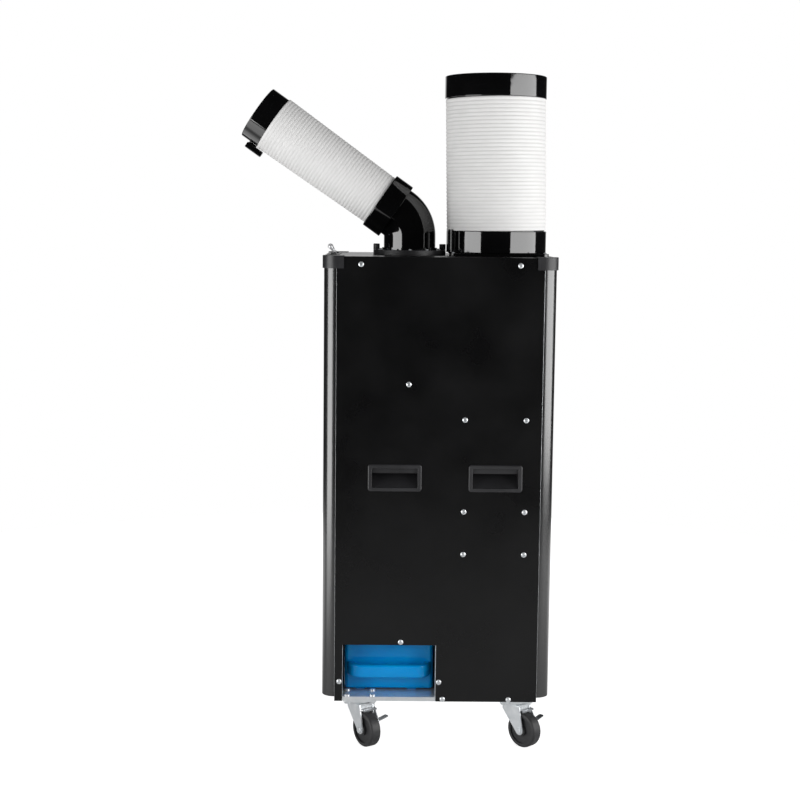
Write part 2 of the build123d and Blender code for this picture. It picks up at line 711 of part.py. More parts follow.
def corner_cap():
    """The moulded cap over the rear +Y post."""
    high = COVER_TOP + CAP_RISE
    radius = POST_RADIUS + CAP_PROUD
    low_x = CAP_X - CAP_ARM
    low_y = CAP_Y - CAP_ARM
    cap = block((low_x, CAP_X), (low_y, CAP_Y), (SKIRT_LOW, high))
    corner = cap.edges().filter_by(Axis.Z).sort_by(lambda edge: edge.center().X + edge.center().Y)[-1]
    cap = fillet(corner, radius)
    cap = fillet(cap.faces().sort_by(Axis.Z)[-1].edges().sort_by(Axis.X)[-3:], EDGE)
    hollow = block(
        (low_x, HALF_X + FIT), (low_y, HALF_Y + FIT), (SKIRT_LOW, high - CAP_TOP_WALL)
    )
    corner = hollow.edges().filter_by(Axis.Z).sort_by(lambda edge: edge.center().X + edge.center().Y)[-1]
    return cap - fillet(corner, POST_RADIUS + FIT)


def corner_caps():
    """The four caps."""
    return group(four_corners(corner_cap()))


def top_cover():
    """Cover sheet with folded skirts between the corner caps, and the openings of the outlets."""
    half_x = HALF_X + SHEET
    half_y = HALF_Y + SHEET
    cover = block((-half_x, half_x), (-half_y, half_y), (SKIRT_LOW, COVER_TOP))
    cover -= block((-HALF_X, HALF_X), (-HALF_Y, HALF_Y), (SKIRT_LOW, COVER_UNDER))
    corner_x = (CAP_X - CAP_ARM - FIT, half_x)
    corner_y = (CAP_Y - CAP_ARM - FIT, half_y)
    cover -= four_corners(block(corner_x, corner_y, (SKIRT_LOW, COVER_TOP)))
    cover -= upright(ELBOW_X, 0, COVER_UNDER, COVER_TOP, ELBOW_SPIGOT_RADIUS + FIT)
    duct_x = CONDENSER_SCROLL_WIDTH / 2 - SCROLL_WALL
    duct_y = CONDENSER_NECK / 2 - SCROLL_WALL
    cover -= block((EXHAUST_X - duct_x, EXHAUST_X + duct_x), (-duct_y, duct_y), (COVER_UNDER, COVER_TOP))
    for side in (-1, 1):
        cover -= screw_holes(side, skirt_screws(), HALF_Y, half_y)
    for x, y in knob_places():
        cover -= upright(x, y, COVER_UNDER, COVER_TOP, KNOB_SHANK + FIT)
    for y in BUTTON_Y:
        cover -= button_hole(y)
    cover -= upright(STRIP_MIDDLE, 0, COVER_UNDER, COVER_TOP, TOGGLE_NECK + FIT)
    return cover


def end_panel(side):
    """Front (-1) or rear (1) panel, with a pan-shaped recess and slots for the air."""
    outer = side * END_FACE
    inner = side * (END_FACE - SHEET)
    floor_outer = side * (END_FACE - INTAKE_DEPTH)
    floor_inner = side * (END_FACE - INTAKE_DEPTH - SHEET)
    half_y = POST_FACE - POST_RADIUS - FIT
    panel = block((outer, inner), (-half_y, half_y), (BASE_TOP + FIT, SHELL_TOP))
    wall = INTAKE_HALF_WIDTH + SHEET
    panel += block((outer, floor_inner), (-wall, wall), (INTAKE_LOW - SHEET, INTAKE_HIGH + SHEET))
    panel -= block(
        (outer, floor_outer), (-INTAKE_HALF_WIDTH, INTAKE_HALF_WIDTH), (INTAKE_LOW, INTAKE_HIGH)
    )
    reach = INTAKE_HALF_WIDTH - SLOT_MARGIN
    count = int(2 * reach / SLOT_PITCH)
    middle = (INTAKE_LOW + INTAKE_HIGH) / 2
    spans = (
        (INTAKE_LOW + SLOT_MARGIN, middle - SLOT_MARGIN / 2),
        (middle + SLOT_MARGIN / 2, INTAKE_HIGH - SLOT_MARGIN),
    )
    slots = []
    for index in range(count):
        y = (index - (count - 1) / 2) * SLOT_PITCH
        for span in spans:
            slots.append(block((floor_outer, floor_inner), (y - SLOT_WIDTH / 2, y + SLOT_WIDTH / 2), span))
    return panel - slots


def rear_panel():
    """The rear panel, also cut for the power inlet."""
    half_y = INLET_LENGTH / 2 - INLET_BEZEL + FIT
    half_z = INLET_HEIGHT / 2 - INLET_BEZEL + FIT
    return end_panel(1) - block(
        (END_FACE - SHEET, END_FACE),
        (INLET_Y - half_y, INLET_Y + half_y),
        (INLET_Z - half_z, INLET_Z + half_z),
    )


def power_inlet():
    """A recessed inlet with three flat contacts."""
    half_y = INLET_LENGTH / 2
    half_z = INLET_HEIGHT / 2
    body_y = half_y - INLET_BEZEL
    body_z = half_z - INLET_BEZEL
    front = END_FACE + INLET_PROUD
    inlet = block((END_FACE, front), (-half_y, half_y), (-half_z, half_z))
    inlet += block((END_FACE - INLET_DEPTH, END_FACE), (-body_y, body_y), (-body_z, body_z))
    well_y = body_y - INLET_WALL
    well_z = body_z - INLET_WALL
    inlet -= block((END_FACE - INLET_DEPTH + INLET_WALL, front), (-well_y, well_y), (-well_z, well_z))
    for y, z in ((-well_y / 2, -well_z / 3), (0, well_z / 3), (well_y / 2, -well_z / 3)):
        inlet += block(
            (END_FACE - INLET_DEPTH, END_FACE - INLET_DEPTH / 2),
            (y - INLET_CONTACT_HALF_Y, y + INLET_CONTACT_HALF_Y),
            (z - INLET_CONTACT_HALF_Z, z + INLET_CONTACT_HALF_Z),
        )
    return Pos(0, INLET_Y, INLET_Z) * inlet


def intake_filter(side):
    """A pull-off filter: frame, crossbars and a thin sheet, flush in the panel's recess."""
    face = side * END_FACE
    back = side * (END_FACE - INTAKE_DEPTH + FIT)
    middle = (face + back) / 2
    half_y = INTAKE_HALF_WIDTH - FIT
    z_span = (INTAKE_LOW + FIT, INTAKE_HIGH - FIT)
    frame = block((face, back), (-half_y, half_y), z_span)
    open_y = half_y - FILTER_FRAME
    open_z = (z_span[0] + FILTER_FRAME, z_span[1] - FILTER_FRAME)
    frame -= block((face, back), (-open_y, open_y), open_z)
    frame += block(
        (middle - FILTER_SHEET / 2, middle + FILTER_SHEET / 2), (-open_y, open_y), open_z
    )
    bars = []
    for column in range(1, FILTER_COLUMNS):
        y = -open_y + 2 * open_y * column / FILTER_COLUMNS
        bars.append(block((middle, back), (y - FILTER_BAR / 2, y + FILTER_BAR / 2), open_z))
    for row in range(1, FILTER_ROWS):
        z = open_z[0] + (open_z[1] - open_z[0]) * row / FILTER_ROWS
        bars.append(block((middle, back), (-open_y, open_y), (z - FILTER_BAR / 2, z + FILTER_BAR / 2)))
    return frame + bars


# Controls


def button_hole(y):
    """The hole for a button through the strip and the cover."""
    half_x = BUTTON_WIDTH / 2
    half_y = BUTTON_LENGTH / 2
    return block(
        (STRIP_MIDDLE - half_x, STRIP_MIDDLE + half_x), (y - half_y, y + half_y), (COVER_UNDER, STRIP_TOP)
    )


def control_strip():
    """The thin strip along the front edge of the cover."""
    strip = Pos(STRIP_MIDDLE, 0, COVER_TOP) * extrude(
        RectangleRounded(STRIP_WIDTH, STRIP_LENGTH, STRIP_CORNER), STRIP_HEIGHT
    )
    strip -= [button_hole(y) for y in BUTTON_Y]
    return strip - upright(STRIP_MIDDLE, 0, COVER_TOP, STRIP_TOP, TOGGLE_NECK + FIT)


def push_button(y):
    """One button that stands a little proud of the strip."""
    top = STRIP_TOP + BUTTON_PROUD
    cap = extrude(RectangleRounded(BUTTON_WIDTH - 2 * FIT, BUTTON_LENGTH - 2 * FIT, EDGE), BUTTON_HEIGHT)
    cap = fillet(cap.faces().sort_by(Axis.Z)[-1].edges(), BUTTON_EDGE)
    return Pos(STRIP_MIDDLE, y, top - BUTTON_HEIGHT) * cap


def toggle_switch():
    """Switch body under the cover, with its neck and flange above the strip."""
    body_top = COVER_UNDER - FIT
    body = block(
        (-TOGGLE_BODY_WIDTH / 2, TOGGLE_BODY_WIDTH / 2),
        (-TOGGLE_BODY_LENGTH / 2, TOGGLE_BODY_LENGTH / 2),
        (body_top - TOGGLE_BODY_HEIGHT, body_top),
    )
    body += upright(0, 0, body_top, STRIP_TOP, TOGGLE_NECK)
    body += upright(0, 0, STRIP_TOP, TOGGLE_Z, TOGGLE_FLANGE)
    socket = TOGGLE_BALL + FIT
    body -= upright(0, 0, TOGGLE_Z - socket, TOGGLE_Z, socket)
    return Pos(STRIP_MIDDLE, 0, 0) * body


def toggle_lever():
    """Bat-shaped lever on a pinned ball, swelling from a thin stem to its rounded tip."""
    lever = Sphere(TOGGLE_BALL) + rod((0, -TOGGLE_PIN_REACH, 0), (0, TOGGLE_PIN_REACH, 0), TOGGLE_PIN)
    lever += loft([Circle(TOGGLE_STEM), Pos(0, 0, TOGGLE_REACH) * Circle(TOGGLE_TIP)], ruled=True)
    lever += Pos(0, 0, TOGGLE_REACH) * Sphere(TOGGLE_TIP)
    return Pos(STRIP_MIDDLE, 0, TOGGLE_Z) * Rot(0, -TOGGLE_LEAN, 0) * lever


# Water tank


def water_tank():
    """Open bucket on two runners, with a pull handle across its front."""
    rear_y = TANK_Y + TANK_DEPTH
    tank = block((TANK_FRONT_X, TANK_REAR_X), (TANK_Y, rear_y), (TANK_Z, TANK_TOP))
    tank = fillet(tank.edges().filter_by(Axis.Z), TANK_CORNER)
    tank = fillet(tank.faces().sort_by(Axis.Z)[0].edges(), TANK_FLOOR_EDGE)
    cavity = block(
        (TANK_FRONT_X + TANK_WALL, TANK_REAR_X - TANK_WALL),
        (TANK_Y + TANK_WALL, rear_y - TANK_WALL),
        (TANK_Z + TANK_WALL, TANK_TOP),
    )
    tank -= fillet(cavity.edges().filter_by(Axis.Z), TANK_CORNER - TANK_WALL)
    for along in TANK_RUNNER_X:
        x = TANK_FRONT_X + along
        tank += block(
            (x, x + TANK_RUNNER_WIDTH),
            (TANK_Y + TANK_CORNER, rear_y - TANK_CORNER),
            (TANK_Z - TANK_RUNNER_HEIGHT, TANK_Z + TANK_HANDLE_ROOT),
        )
    bar_low = TANK_FRONT_X + TANK_HANDLE_INSET
    bar_high = TANK_REAR_X - TANK_HANDLE_INSET
    bar_z = TANK_Z + TANK_HANDLE_RISE
    bar_y = TANK_Y - TANK_HANDLE_REACH
    root_y = TANK_Y + TANK_HANDLE_ROOT
    bar_span = (bar_z - TANK_HANDLE_HEIGHT / 2, bar_z + TANK_HANDLE_HEIGHT / 2)
    handle = block((bar_low, bar_high), (bar_y, root_y), bar_span)
    front = handle.edges().filter_by(Axis.Z).sort_by(Axis.Y)[:2]
    handle = fillet(front, TANK_HANDLE_BEND)
    gap = block(
        (bar_low + TANK_HANDLE_BAR, bar_high - TANK_HANDLE_BAR), (bar_y + TANK_HANDLE_BAR, root_y), bar_span
    )
    gap_front = gap.edges().filter_by(Axis.Z).sort_by(Axis.Y)[:2]
    handle -= fillet(gap_front, TANK_HANDLE_BEND - TANK_HANDLE_BAR)
    flats = handle.faces().sort_by(Axis.Z)
    rails = ShapeList([flats[0], flats[-1]]).edges()
    handle = fillet([edge for edge in rails if edge.center().Y < root_y - FIT], TANK_HANDLE_EDGE)
    return tank + handle


# Casters


def caster_bolt_places(caster_x, caster_y):
    """The four bolt places of one caster plate."""
    half_x = CASTER_BOLT_X / 2
    half_y = CASTER_BOLT_Y / 2
    return [(caster_x + x, caster_y + y) for x in (-half_x, half_x) for y in (-half_y, half_y)]


def caster_bolt(x, y):
    """Round-headed bolt from the base deck down through a caster plate, with its nut."""
    nut_low = CASTER_PLATE_LOW - CASTER_NUT_HEIGHT
    bolt = upright(x, y, nut_low, BASE_TOP, CASTER_BOLT_RADIUS)
    head = upright(x, y, BASE_TOP, BASE_TOP + CASTER_BOLT_HEAD_HEIGHT, CASTER_BOLT_HEAD)
    head = fillet(head.edges().sort_by(Axis.Z)[-1], CASTER_BOLT_CROWN)
    nut = Pos(x, y, nut_low) * extrude(RegularPolygon(CASTER_BOLT_HEAD, 6), CASTER_NUT_HEIGHT)
    return bolt + head + nut


def caster_plate(caster_x, caster_y):
    """Mounting plate with the upper ball race and the kingpin."""
    outline = RectangleRounded(CASTER_PLATE_LENGTH, CASTER_PLATE_WIDTH, CASTER_PLATE_CORNER)
    plate = Pos(caster_x, caster_y, CASTER_PLATE_LOW) * extrude(outline, CASTER_PLATE)
    for x, y in caster_bolt_places(caster_x, caster_y):
        plate -= upright(x, y, CASTER_PLATE_LOW, CASTER_HEIGHT, CASTER_BOLT_RADIUS + FIT)
    race = upright(caster_x, caster_y, RACE_LOW, CASTER_PLATE_LOW, RACE_RADIUS)
    race = fillet(race.edges().sort_by(Axis.Z)[0], RACE_EDGE)
    head_top = CROWN_LOW - FIT
    pin = upright(caster_x, caster_y, head_top, RACE_LOW, KINGPIN_RADIUS)
    head = upright(caster_x, caster_y, head_top - KINGPIN_HEAD_HEIGHT, head_top, KINGPIN_HEAD)
    return plate + race + pin + head


def caster_plates():
    """The four plates."""
    return group([caster_plate(x, side * CASTER_Y) for side in (-1, 1) for x in CASTER_X])


def caster_fork(braked):
    """Swivelling fork about Z; its legs carry the axle behind the swivel axis."""
    shoulder_low = CROWN_TOP - FORK_SHOULDER
    shoulder = Polyline(
        (-FORK_FRONT, CROWN_TOP),
        (FORK_BACK, CROWN_TOP),
        (FORK_BACK, shoulder_low),
        (-FORK_FRONT, shoulder_low),
        close=True,
    )
    foot = CenterArc((TRAIL, WHEEL_RADIUS), FORK_FOOT, 0, 360)
    leg_shape = make_hull(shoulder.edges() + foot.edges())
    leg_plane = Plane(origin=(0, LEG_OUTER, 0), x_dir=(1, 0, 0), z_dir=(0, -1, 0))
    leg = extrude(leg_plane * leg_shape, FORK_WALL)
    crown = block((-FORK_FRONT, FORK_BACK), (-LEG_OUTER, LEG_OUTER), (CROWN_LOW, CROWN_TOP))
    apron_x = (FORK_BACK - FORK_WALL, FORK_BACK)
    apron = block(apron_x, (-LEG_INNER, LEG_INNER), (CROWN_LOW - FORK_APRON, CROWN_LOW))
    fork = crown + apron + leg + mirror(leg, about=Plane.XZ)
    shoulders = [edge for edge in fork.edges().filter_by(Axis.X) if abs(edge.center().Z - CROWN_TOP) < FIT]
    fork = fillet(shoulders, FORK_EDGE)
    fork -= upright(0, 0, CROWN_LOW, CROWN_TOP, KINGPIN_RADIUS + RUN_FIT)
    fork -= rod((TRAIL, -LEG_OUTER, WHEEL_RADIUS), (TRAIL, LEG_OUTER, WHEEL_RADIUS), AXLE_RADIUS + RUN_FIT)
    if braked:
        stud_end = LEG_OUTER + FIT + BRAKE_PLATE + FIT
        pivot = (BRAKE_PIVOT_X, LEG_OUTER, BRAKE_PIVOT_Z)
        tip = (BRAKE_PIVOT_X, stud_end, BRAKE_PIVOT_Z)
        cap = (BRAKE_PIVOT_X, stud_end + BRAKE_PLATE, BRAKE_PIVOT_Z)
        fork += rod(pivot, tip, BRAKE_PIVOT_RADIUS)
        fork += rod(tip, cap, BRAKE_STUD_HEAD)
    return fork


def caster_axle():
    """Axle bolt through both legs, with a head at each end."""
    end = LEG_OUTER + AXLE_HEAD_HEIGHT
    axle = rod((TRAIL, -LEG_OUTER, WHEEL_RADIUS), (TRAIL, LEG_OUTER, WHEEL_RADIUS), AXLE_RADIUS)
    for side in (-1, 1):
        head = rod((TRAIL, side * LEG_OUTER, WHEEL_RADIUS), (TRAIL, side * end, WHEEL_RADIUS), AXLE_HEAD)
        axle += fillet(head.edges().sort_by(lambda edge: side * edge.center().Y)[-1], EDGE)
    return axle


def caster_wheel():
    """Tyre, web and hub in one moulding, turning about its axle."""
    half = WHEEL_WIDTH / 2
    bore = AXLE_RADIUS + RUN_FIT
    rim = WHEEL_RADIUS - WHEEL_RIM_WALL
    web = half - WHEEL_RECESS
    outline = [
        (bore, -HUB_HALF),
        (WHEEL_HUB_RADIUS, -HUB_HALF),
        (WHEEL_HUB_RADIUS, -web),
        (rim, -web),
        (rim, -half),
        (WHEEL_RADIUS, -half),
        (WHEEL_RADIUS, half),
        (rim, half),
        (rim, web),
        (WHEEL_HUB_RADIUS, web),
        (WHEEL_HUB_RADIUS, HUB_HALF),
        (bore, HUB_HALF),
    ]
    wheel = turned(outline)
    wheel = fillet(rims(wheel, WHEEL_RADIUS), WHEEL_EDGE)
    return Pos(TRAIL, 0, WHEEL_RADIUS) * Rot(90, 0, 0) * wheel


def caster_brake():
    """Side lever: an eye on the fork's stud, a shoe over the tyre and a tread for the foot."""
    inner = LEG_OUTER + FIT
    outer = inner + BRAKE_PLATE
    foot_z = BRAKE_PIVOT_Z - BRAKE_FOOT_DROP
    eye = CenterArc((BRAKE_PIVOT_X, BRAKE_PIVOT_Z), BRAKE_EYE, 0, 360)
    foot = CenterArc((BRAKE_FOOT_X, foot_z), BRAKE_FOOT_RADIUS, 0, 360)
    shoe_low = WHEEL_RADIUS * 2 + BRAKE_SHOE_GAP
    shoe_front = FORK_BACK + BRAKE_SHOE_BEHIND
    plane = Plane(origin=(0, outer, 0), x_dir=(1, 0, 0), z_dir=(0, -1, 0))
    lever = extrude(plane * make_hull(eye.edges() + foot.edges()), BRAKE_PLATE)
    shoe_x = (shoe_front, shoe_front + BRAKE_SHOE_WIDTH)
    shoe_z = (shoe_low, shoe_low + BRAKE_SHOE_THICKNESS)
    lever += block(shoe_x, (-WHEEL_WIDTH / 2, outer), shoe_z)
    lever += block((BRAKE_PIVOT_X, shoe_x[1]), (inner, outer), shoe_z)
    tread_x = (-BRAKE_TREAD_WIDTH, BRAKE_TREAD_WIDTH)
    tread = block(tread_x, (-BRAKE_PLATE / 2, BRAKE_TREAD_LENGTH), (0, BRAKE_PLATE))
    tread = fillet(tread.edges().filter_by(Axis.Z).sort_by(Axis.Y)[-2:], BRAKE_TREAD_WIDTH / 2)
    lever += Pos(BRAKE_FOOT_X, outer, foot_z) * Rot(BRAKE_TREAD_TILT, 0, 0) * tread
    hole = BRAKE_PIVOT_RADIUS + RUN_FIT
    return lever - rod((BRAKE_PIVOT_X, inner, BRAKE_PIVOT_Z), (BRAKE_PIVOT_X, outer, BRAKE_PIVOT_Z), hole)


def caster_stations():
    """Name, place and trailing direction of each caster."""
    stations = []
    for side, side_name in ((-1, "tank_side"), (1, "plain_side")):
        for x, turn, end_name in zip(CASTER_X, CASTER_TURN, ("front", "rear")):
            place = Pos(x, side * CASTER_Y, 0) * Rot(0, 0, side * turn)
            stations.append((f"{side_name}_{end_name}", side, place))
    return stations


# Cool-air outlet


def knob_places():
    """Places of the clamp knobs round the elbow's rim."""
    step = 2 * math.pi / KNOB_COUNT
    angles = [step * index for index in range(KNOB_COUNT)]
    return [(ELBOW_X + KNOB_CIRCLE * math.cos(a), KNOB_CIRCLE * math.sin(a)) for a in angles]


def swivel_ring():
    """Fixed ring on the cover that the elbow turns in, with a lip round the elbow's rim."""
    ring = upright(ELBOW_X, 0, COVER_TOP, RIM_TOP, SWIVEL_RING_RADIUS)
    ring = fillet(ring.edges().sort_by(Axis.Z)[-1], EDGE)
    ring -= upright(ELBOW_X, 0, COVER_TOP, RING_TOP, ELBOW_SPIGOT_RADIUS + FIT)
    ring -= upright(ELBOW_X, 0, RING_TOP, RIM_TOP, ELBOW_RIM_RADIUS + 2 * FIT)
    return ring - [upright(x, y, COVER_TOP, RIM_TOP, KNOB_SHANK + FIT) for x, y in knob_places()]


def clamp_knobs():
    """Thumb screws whose heads hold the elbow's rim down."""
    low = RIM_TOP + FIT
    knobs = []
    for x, y in knob_places():
        head = upright(x, y, low, low + KNOB_HEIGHT, KNOB_RADIUS)
        head = fillet(head.edges().sort_by(Axis.Z)[-1], CUFF_EDGE)
        for flute in range(KNOB_FLUTES):
            angle = 2 * math.pi * flute / KNOB_FLUTES
            at_x = x + KNOB_RADIUS * math.cos(angle)
            at_y = y + KNOB_RADIUS * math.sin(angle)
            head -= upright(at_x, at_y, low, low + KNOB_HEIGHT, EDGE)
        knobs.append(head + upright(x, y, COVER_UNDER, low, KNOB_SHANK))
    return group(knobs)


def elbow_tube(radius, low):
    """A round bar along the elbow's centre line, from a height at its foot to its straight end."""
    start = (ELBOW_X, 0, low)
    foot = (ELBOW_X, 0, BEND_Z)
    half = TURN / 2
    reach = ELBOW_BEND_RADIUS
    middle = (ELBOW_X - reach * (1 - math.cos(half)), 0, BEND_Z + reach * math.sin(half))
    bend_end = (OUTLET_X, 0, OUTLET_Z)
    end = tuple(OUTLET.from_local_coords(Vector(0, 0, ELBOW_END)))
    runs = [
        Edge.make_line(start, foot),
        Edge.make_three_point_arc(foot, middle, bend_end),
        Edge.make_line(bend_end, end),
    ]
    return sweep(Plane(origin=start, z_dir=(0, 0, 1)) * Circle(radius), path=Wire(runs))


def elbow():
    """Bent tube with its rim, collar and the spigot that turns in the ring."""
    tube = elbow_tube(ELBOW_RADIUS, RIM_LOW)
    tube += upright(ELBOW_X, 0, RIM_LOW, RIM_TOP, ELBOW_RIM_RADIUS)
    tube += upright(ELBOW_X, 0, RIM_TOP, RIM_TOP + ELBOW_COLLAR, ELBOW_COLLAR_RADIUS)
    tube += upright(ELBOW_X, 0, RIM_LOW - ELBOW_SPIGOT, RIM_LOW, ELBOW_SPIGOT_RADIUS)
    tube -= elbow_tube(ELBOW_RADIUS - ELBOW_WALL, RIM_TOP)
    bore = ELBOW_SPIGOT_RADIUS - ELBOW_WALL
    return tube - upright(ELBOW_X, 0, RIM_LOW - ELBOW_SPIGOT, RIM_TOP, bore)


def elbow_cuff():
    """Sleeve that joins the elbow to the hose."""
    end = COLD_CUFF_START + COLD_CUFF_LENGTH
    step = COLD_HOSE_START
    elbow_bore = ELBOW_RADIUS + FIT
    hose_bore = COLD_HOSE_START_RADIUS + 2 * FIT
    cuff = turned([
        (elbow_bore, COLD_CUFF_START),
        (COLD_CUFF_RADIUS, COLD_CUFF_START),
        (COLD_CUFF_RADIUS, end),
        (hose_bore, end),
        (hose_bore, step),
        (elbow_bore, step),
    ])
    return OUTLET * fillet(rims(cuff, COLD_CUFF_RADIUS), SOFT_EDGE)


def cold_hose():
    """Ribbed hose from the elbow cuff to the nozzle cuff."""
    hose = ribbed_tube(COLD_HOSE_LENGTH, COLD_HOSE_RIBS, COLD_HOSE_START_RADIUS, COLD_HOSE_END_RADIUS)
    return OUTLET * Pos(0, 0, COLD_HOSE_START) * hose


def spigot_cuff(length, radius, wall, spigot):
    """A cuff along Z whose spigot, below Z 0, goes into the end of a hose."""
    spigot_bore = spigot - SPIGOT_WALL
    bore = radius - wall
    cuff = turned([
        (spigot_bore, -SPIGOT_LENGTH),
        (spigot, -SPIGOT_LENGTH),
        (spigot, 0),
        (radius, 0),
        (radius, length),
        (bore, length),
        (bore, CUFF_STEP),
        (spigot_bore, CUFF_STEP),
    ])
    free_rim = ShapeList(rims(cuff, radius)).sort_by(Axis.Z)[-1]
    cuff = fillet(free_rim, CUFF_EDGE)
    hose_rim = ShapeList(rims(cuff, radius)).sort_by(Axis.Z)[0]
    return fillet(hose_rim, min(CUFF_EDGE, (radius - spigot) / 3))


def nozzle_cuff():
    """The nozzle at the hose's free end."""
    hose_bore = COLD_HOSE_END_RADIUS - HOSE_RIB_DEPTH - HOSE_WALL
    taper = (COLD_HOSE_END_RADIUS - COLD_HOSE_START_RADIUS) * SPIGOT_LENGTH / COLD_HOSE_LENGTH
    cuff = spigot_cuff(NOZZLE_LENGTH, NOZZLE_RADIUS, NOZZLE_WALL, hose_bore - taper - FIT)
    return OUTLET * Pos(0, 0, NOZZLE_START) * cuff


def nozzle_clip():
    """Clip bar under the nozzle, standing on the cuff and reaching back over the hose."""
    half = CLIP_WIDTH / 2
    low = NOZZLE_RADIUS + NOZZLE_CLIP_STAND
    start = NOZZLE_START - NOZZLE_CLIP_OVERHANG
    bar = block((-half, half), (low, low + NOZZLE_CLIP_BAR), (start, start + NOZZLE_CLIP_LENGTH))
    bar = fillet(bar.edges(), SOFT_EDGE)
    foot_x = (-NOZZLE_CLIP_FOOT / 2, NOZZLE_CLIP_FOOT / 2)
    foot_y = (NOZZLE_RADIUS + CLIP_GAP, low + NOZZLE_CLIP_FOOT_SET)
    foot_z = (NOZZLE_START + SOFT_EDGE, start + NOZZLE_CLIP_LENGTH - NOZZLE_CLIP_FOOT_SET)
    foot = block(foot_x, foot_y, foot_z)
    return OUTLET * Rot(0, 0, outlet_down()) * (bar + foot)


def outlet_down():
    """Turn about the outlet axis that carries its +Y to the underside."""
    down = OUTLET.to_local_coords(Vector(0, 0, -1) + OUTLET.origin) - OUTLET.to_local_coords(OUTLET.origin)
    return math.degrees(math.atan2(down.Y, down.X)) - 90


# Exhaust


def exhaust_base():
    """Square base plate with a bar guard across its bore."""
    outline = RectangleRounded(EXHAUST_BASE_SIZE, EXHAUST_BASE_SIZE, EXHAUST_BASE_CORNER)
    plate = extrude(outline, EXHAUST_BASE_HEIGHT)
    plate = fillet(plate.faces().sort_by(Axis.Z)[-1].edges(), EDGE)
    plate -= Cylinder(EXHAUST_BORE, EXHAUST_BASE_HEIGHT, align=(Align.CENTER, Align.CENTER, Align.MIN))
    for index in range(GUARD_BARS):
        x = EXHAUST_BORE * 2 * ((index + 0.5) / GUARD_BARS - 0.5)
        reach = math.sqrt(EXHAUST_BORE**2 - x**2) + GUARD_ROOT
        plate += block((x - GUARD_BAR / 2, x + GUARD_BAR / 2), (-reach, reach), (0, GUARD_BAR))
    return Pos(EXHAUST_X, 0, COVER_TOP) * plate


def exhaust_lower_cuff():
    """Cuff on the base plate; its spigot stands up into the hose."""
    cuff = spigot_cuff(EXHAUST_LOWER_HEIGHT, EXHAUST_LOWER_RADIUS, EXHAUST_CUFF_WALL, EXHAUST_SPIGOT)
    return Pos(EXHAUST_X, 0, HOSE_LOW) * Rot(180, 0, 0) * cuff


def exhaust_hose():
    """Upright ribbed hose, leaning slightly to the front."""
    hose = ribbed_tube(
        EXHAUST_HOSE_LENGTH, EXHAUST_HOSE_RIBS, EXHAUST_HOSE_RADIUS, EXHAUST_HOSE_RADIUS, -EXHAUST_LEAN
    )
    return Pos(EXHAUST_X, 0, HOSE_LOW) * hose


def exhaust_top_cuff():
    """Cuff at the top of the hose; its bore takes the next duct."""
    cuff = spigot_cuff(EXHAUST_TOP_HEIGHT, EXHAUST_TOP_RADIUS, EXHAUST_CUFF_WALL, EXHAUST_SPIGOT)
    return Pos(EXHAUST_TOP_X, 0, HOSE_HIGH) * cuff


def exhaust_clip():
    """Upright clip bar on the lower cuff."""
    half = CLIP_WIDTH / 2
    low = EXHAUST_LOWER_RADIUS + CLIP_GAP
    bottom = CUFF_LOW + EXHAUST_CLIP_RISE
    bar = block((low, low + EXHAUST_CLIP_BAR), (-half, half), (bottom, bottom + EXHAUST_CLIP_HEIGHT))
    bar = fillet(bar.edges().filter_by(Axis.Z), SOFT_EDGE)
    return Pos(EXHAUST_X, 0, 0) * Rot(0, 0, EXHAUST_CLIP_ANGLE) * bar


# Inside the cabinet


def partition_deck():
    """Sheet that parts the lower bay from the coils and blowers."""
    half_x = PANEL_HALF - POST_FLANGE - FIT
    deck = block((-half_x, half_x), (-POST_FACE, POST_FACE), (DECK_Z, DECK_TOP))
    tongue = COIL_BACK + TRAY_WALL
    deck += block((-tongue, tongue), (-TONGUE_HALF_WIDTH, TONGUE_HALF_WIDTH), (DECK_Z, DECK_TOP))
    deck -= upright(SUCTION_X, ACCUMULATOR_Y, DECK_Z, DECK_TOP, PIPE_RADIUS + FIT)
    deck -= upright(COMPRESSOR_X, DISCHARGE_Y, DECK_Z, DECK_TOP, PIPE_RADIUS + FIT)
    return deck - upright(spout_x(), 0, DECK_Z, DECK_TOP, SPOUT_RADIUS + FIT)


def finned_coil(side, seat):
    """Fin pack with end plates, standing on a seat; one comb outline drawn up to full height."""
    inner = side * COIL_FRONT
    outer = side * COIL_BACK
    middle = (inner + outer) / 2
    spine_x = (middle - COIL_SPINE / 2, middle + COIL_SPINE / 2)
    coil = block(spine_x, (-COIL_HALF_WIDTH, COIL_HALF_WIDTH), (0, COIL_HEIGHT))
    count = int(2 * COIL_HALF_WIDTH / COIL_PITCH)
    pitch = (2 * COIL_HALF_WIDTH - COIL_FIN) / count
    fins = []
    for index in range(count + 1):
        y = -COIL_HALF_WIDTH + index * pitch
        fins.append(block((inner, outer), (y, y + COIL_FIN), (0, COIL_HEIGHT)))
    return Pos(0, 0, seat) * (coil + fins)


def spout_x():
    """Where the drain spout leaves the tray."""
    return -COIL_FRONT + TRAY_APRON / 2


def drain_pan():
    """Tray under the evaporator, with a long spout down to the tank."""
    half_y = COIL_HALF_WIDTH + TRAY_WALL + FIT
    x_span = (-COIL_BACK - TRAY_WALL - FIT, -COIL_FRONT + TRAY_APRON)
    tray = block(x_span, (-half_y, half_y), (DECK_TOP, DECK_TOP + TRAY_HEIGHT))
    tray -= block(
        (x_span[0] + TRAY_WALL, x_span[1] - TRAY_WALL),
        (-half_y + TRAY_WALL, half_y - TRAY_WALL),
        (DECK_TOP + TRAY_WALL, DECK_TOP + TRAY_HEIGHT),
    )
    low = TANK_TOP + SPOUT_ABOVE_TANK
    tray += upright(spout_x(), 0, low, DECK_TOP, SPOUT_RADIUS)
    return tray - upright(spout_x(), 0, low, DECK_TOP + TRAY_WALL, SPOUT_BORE)


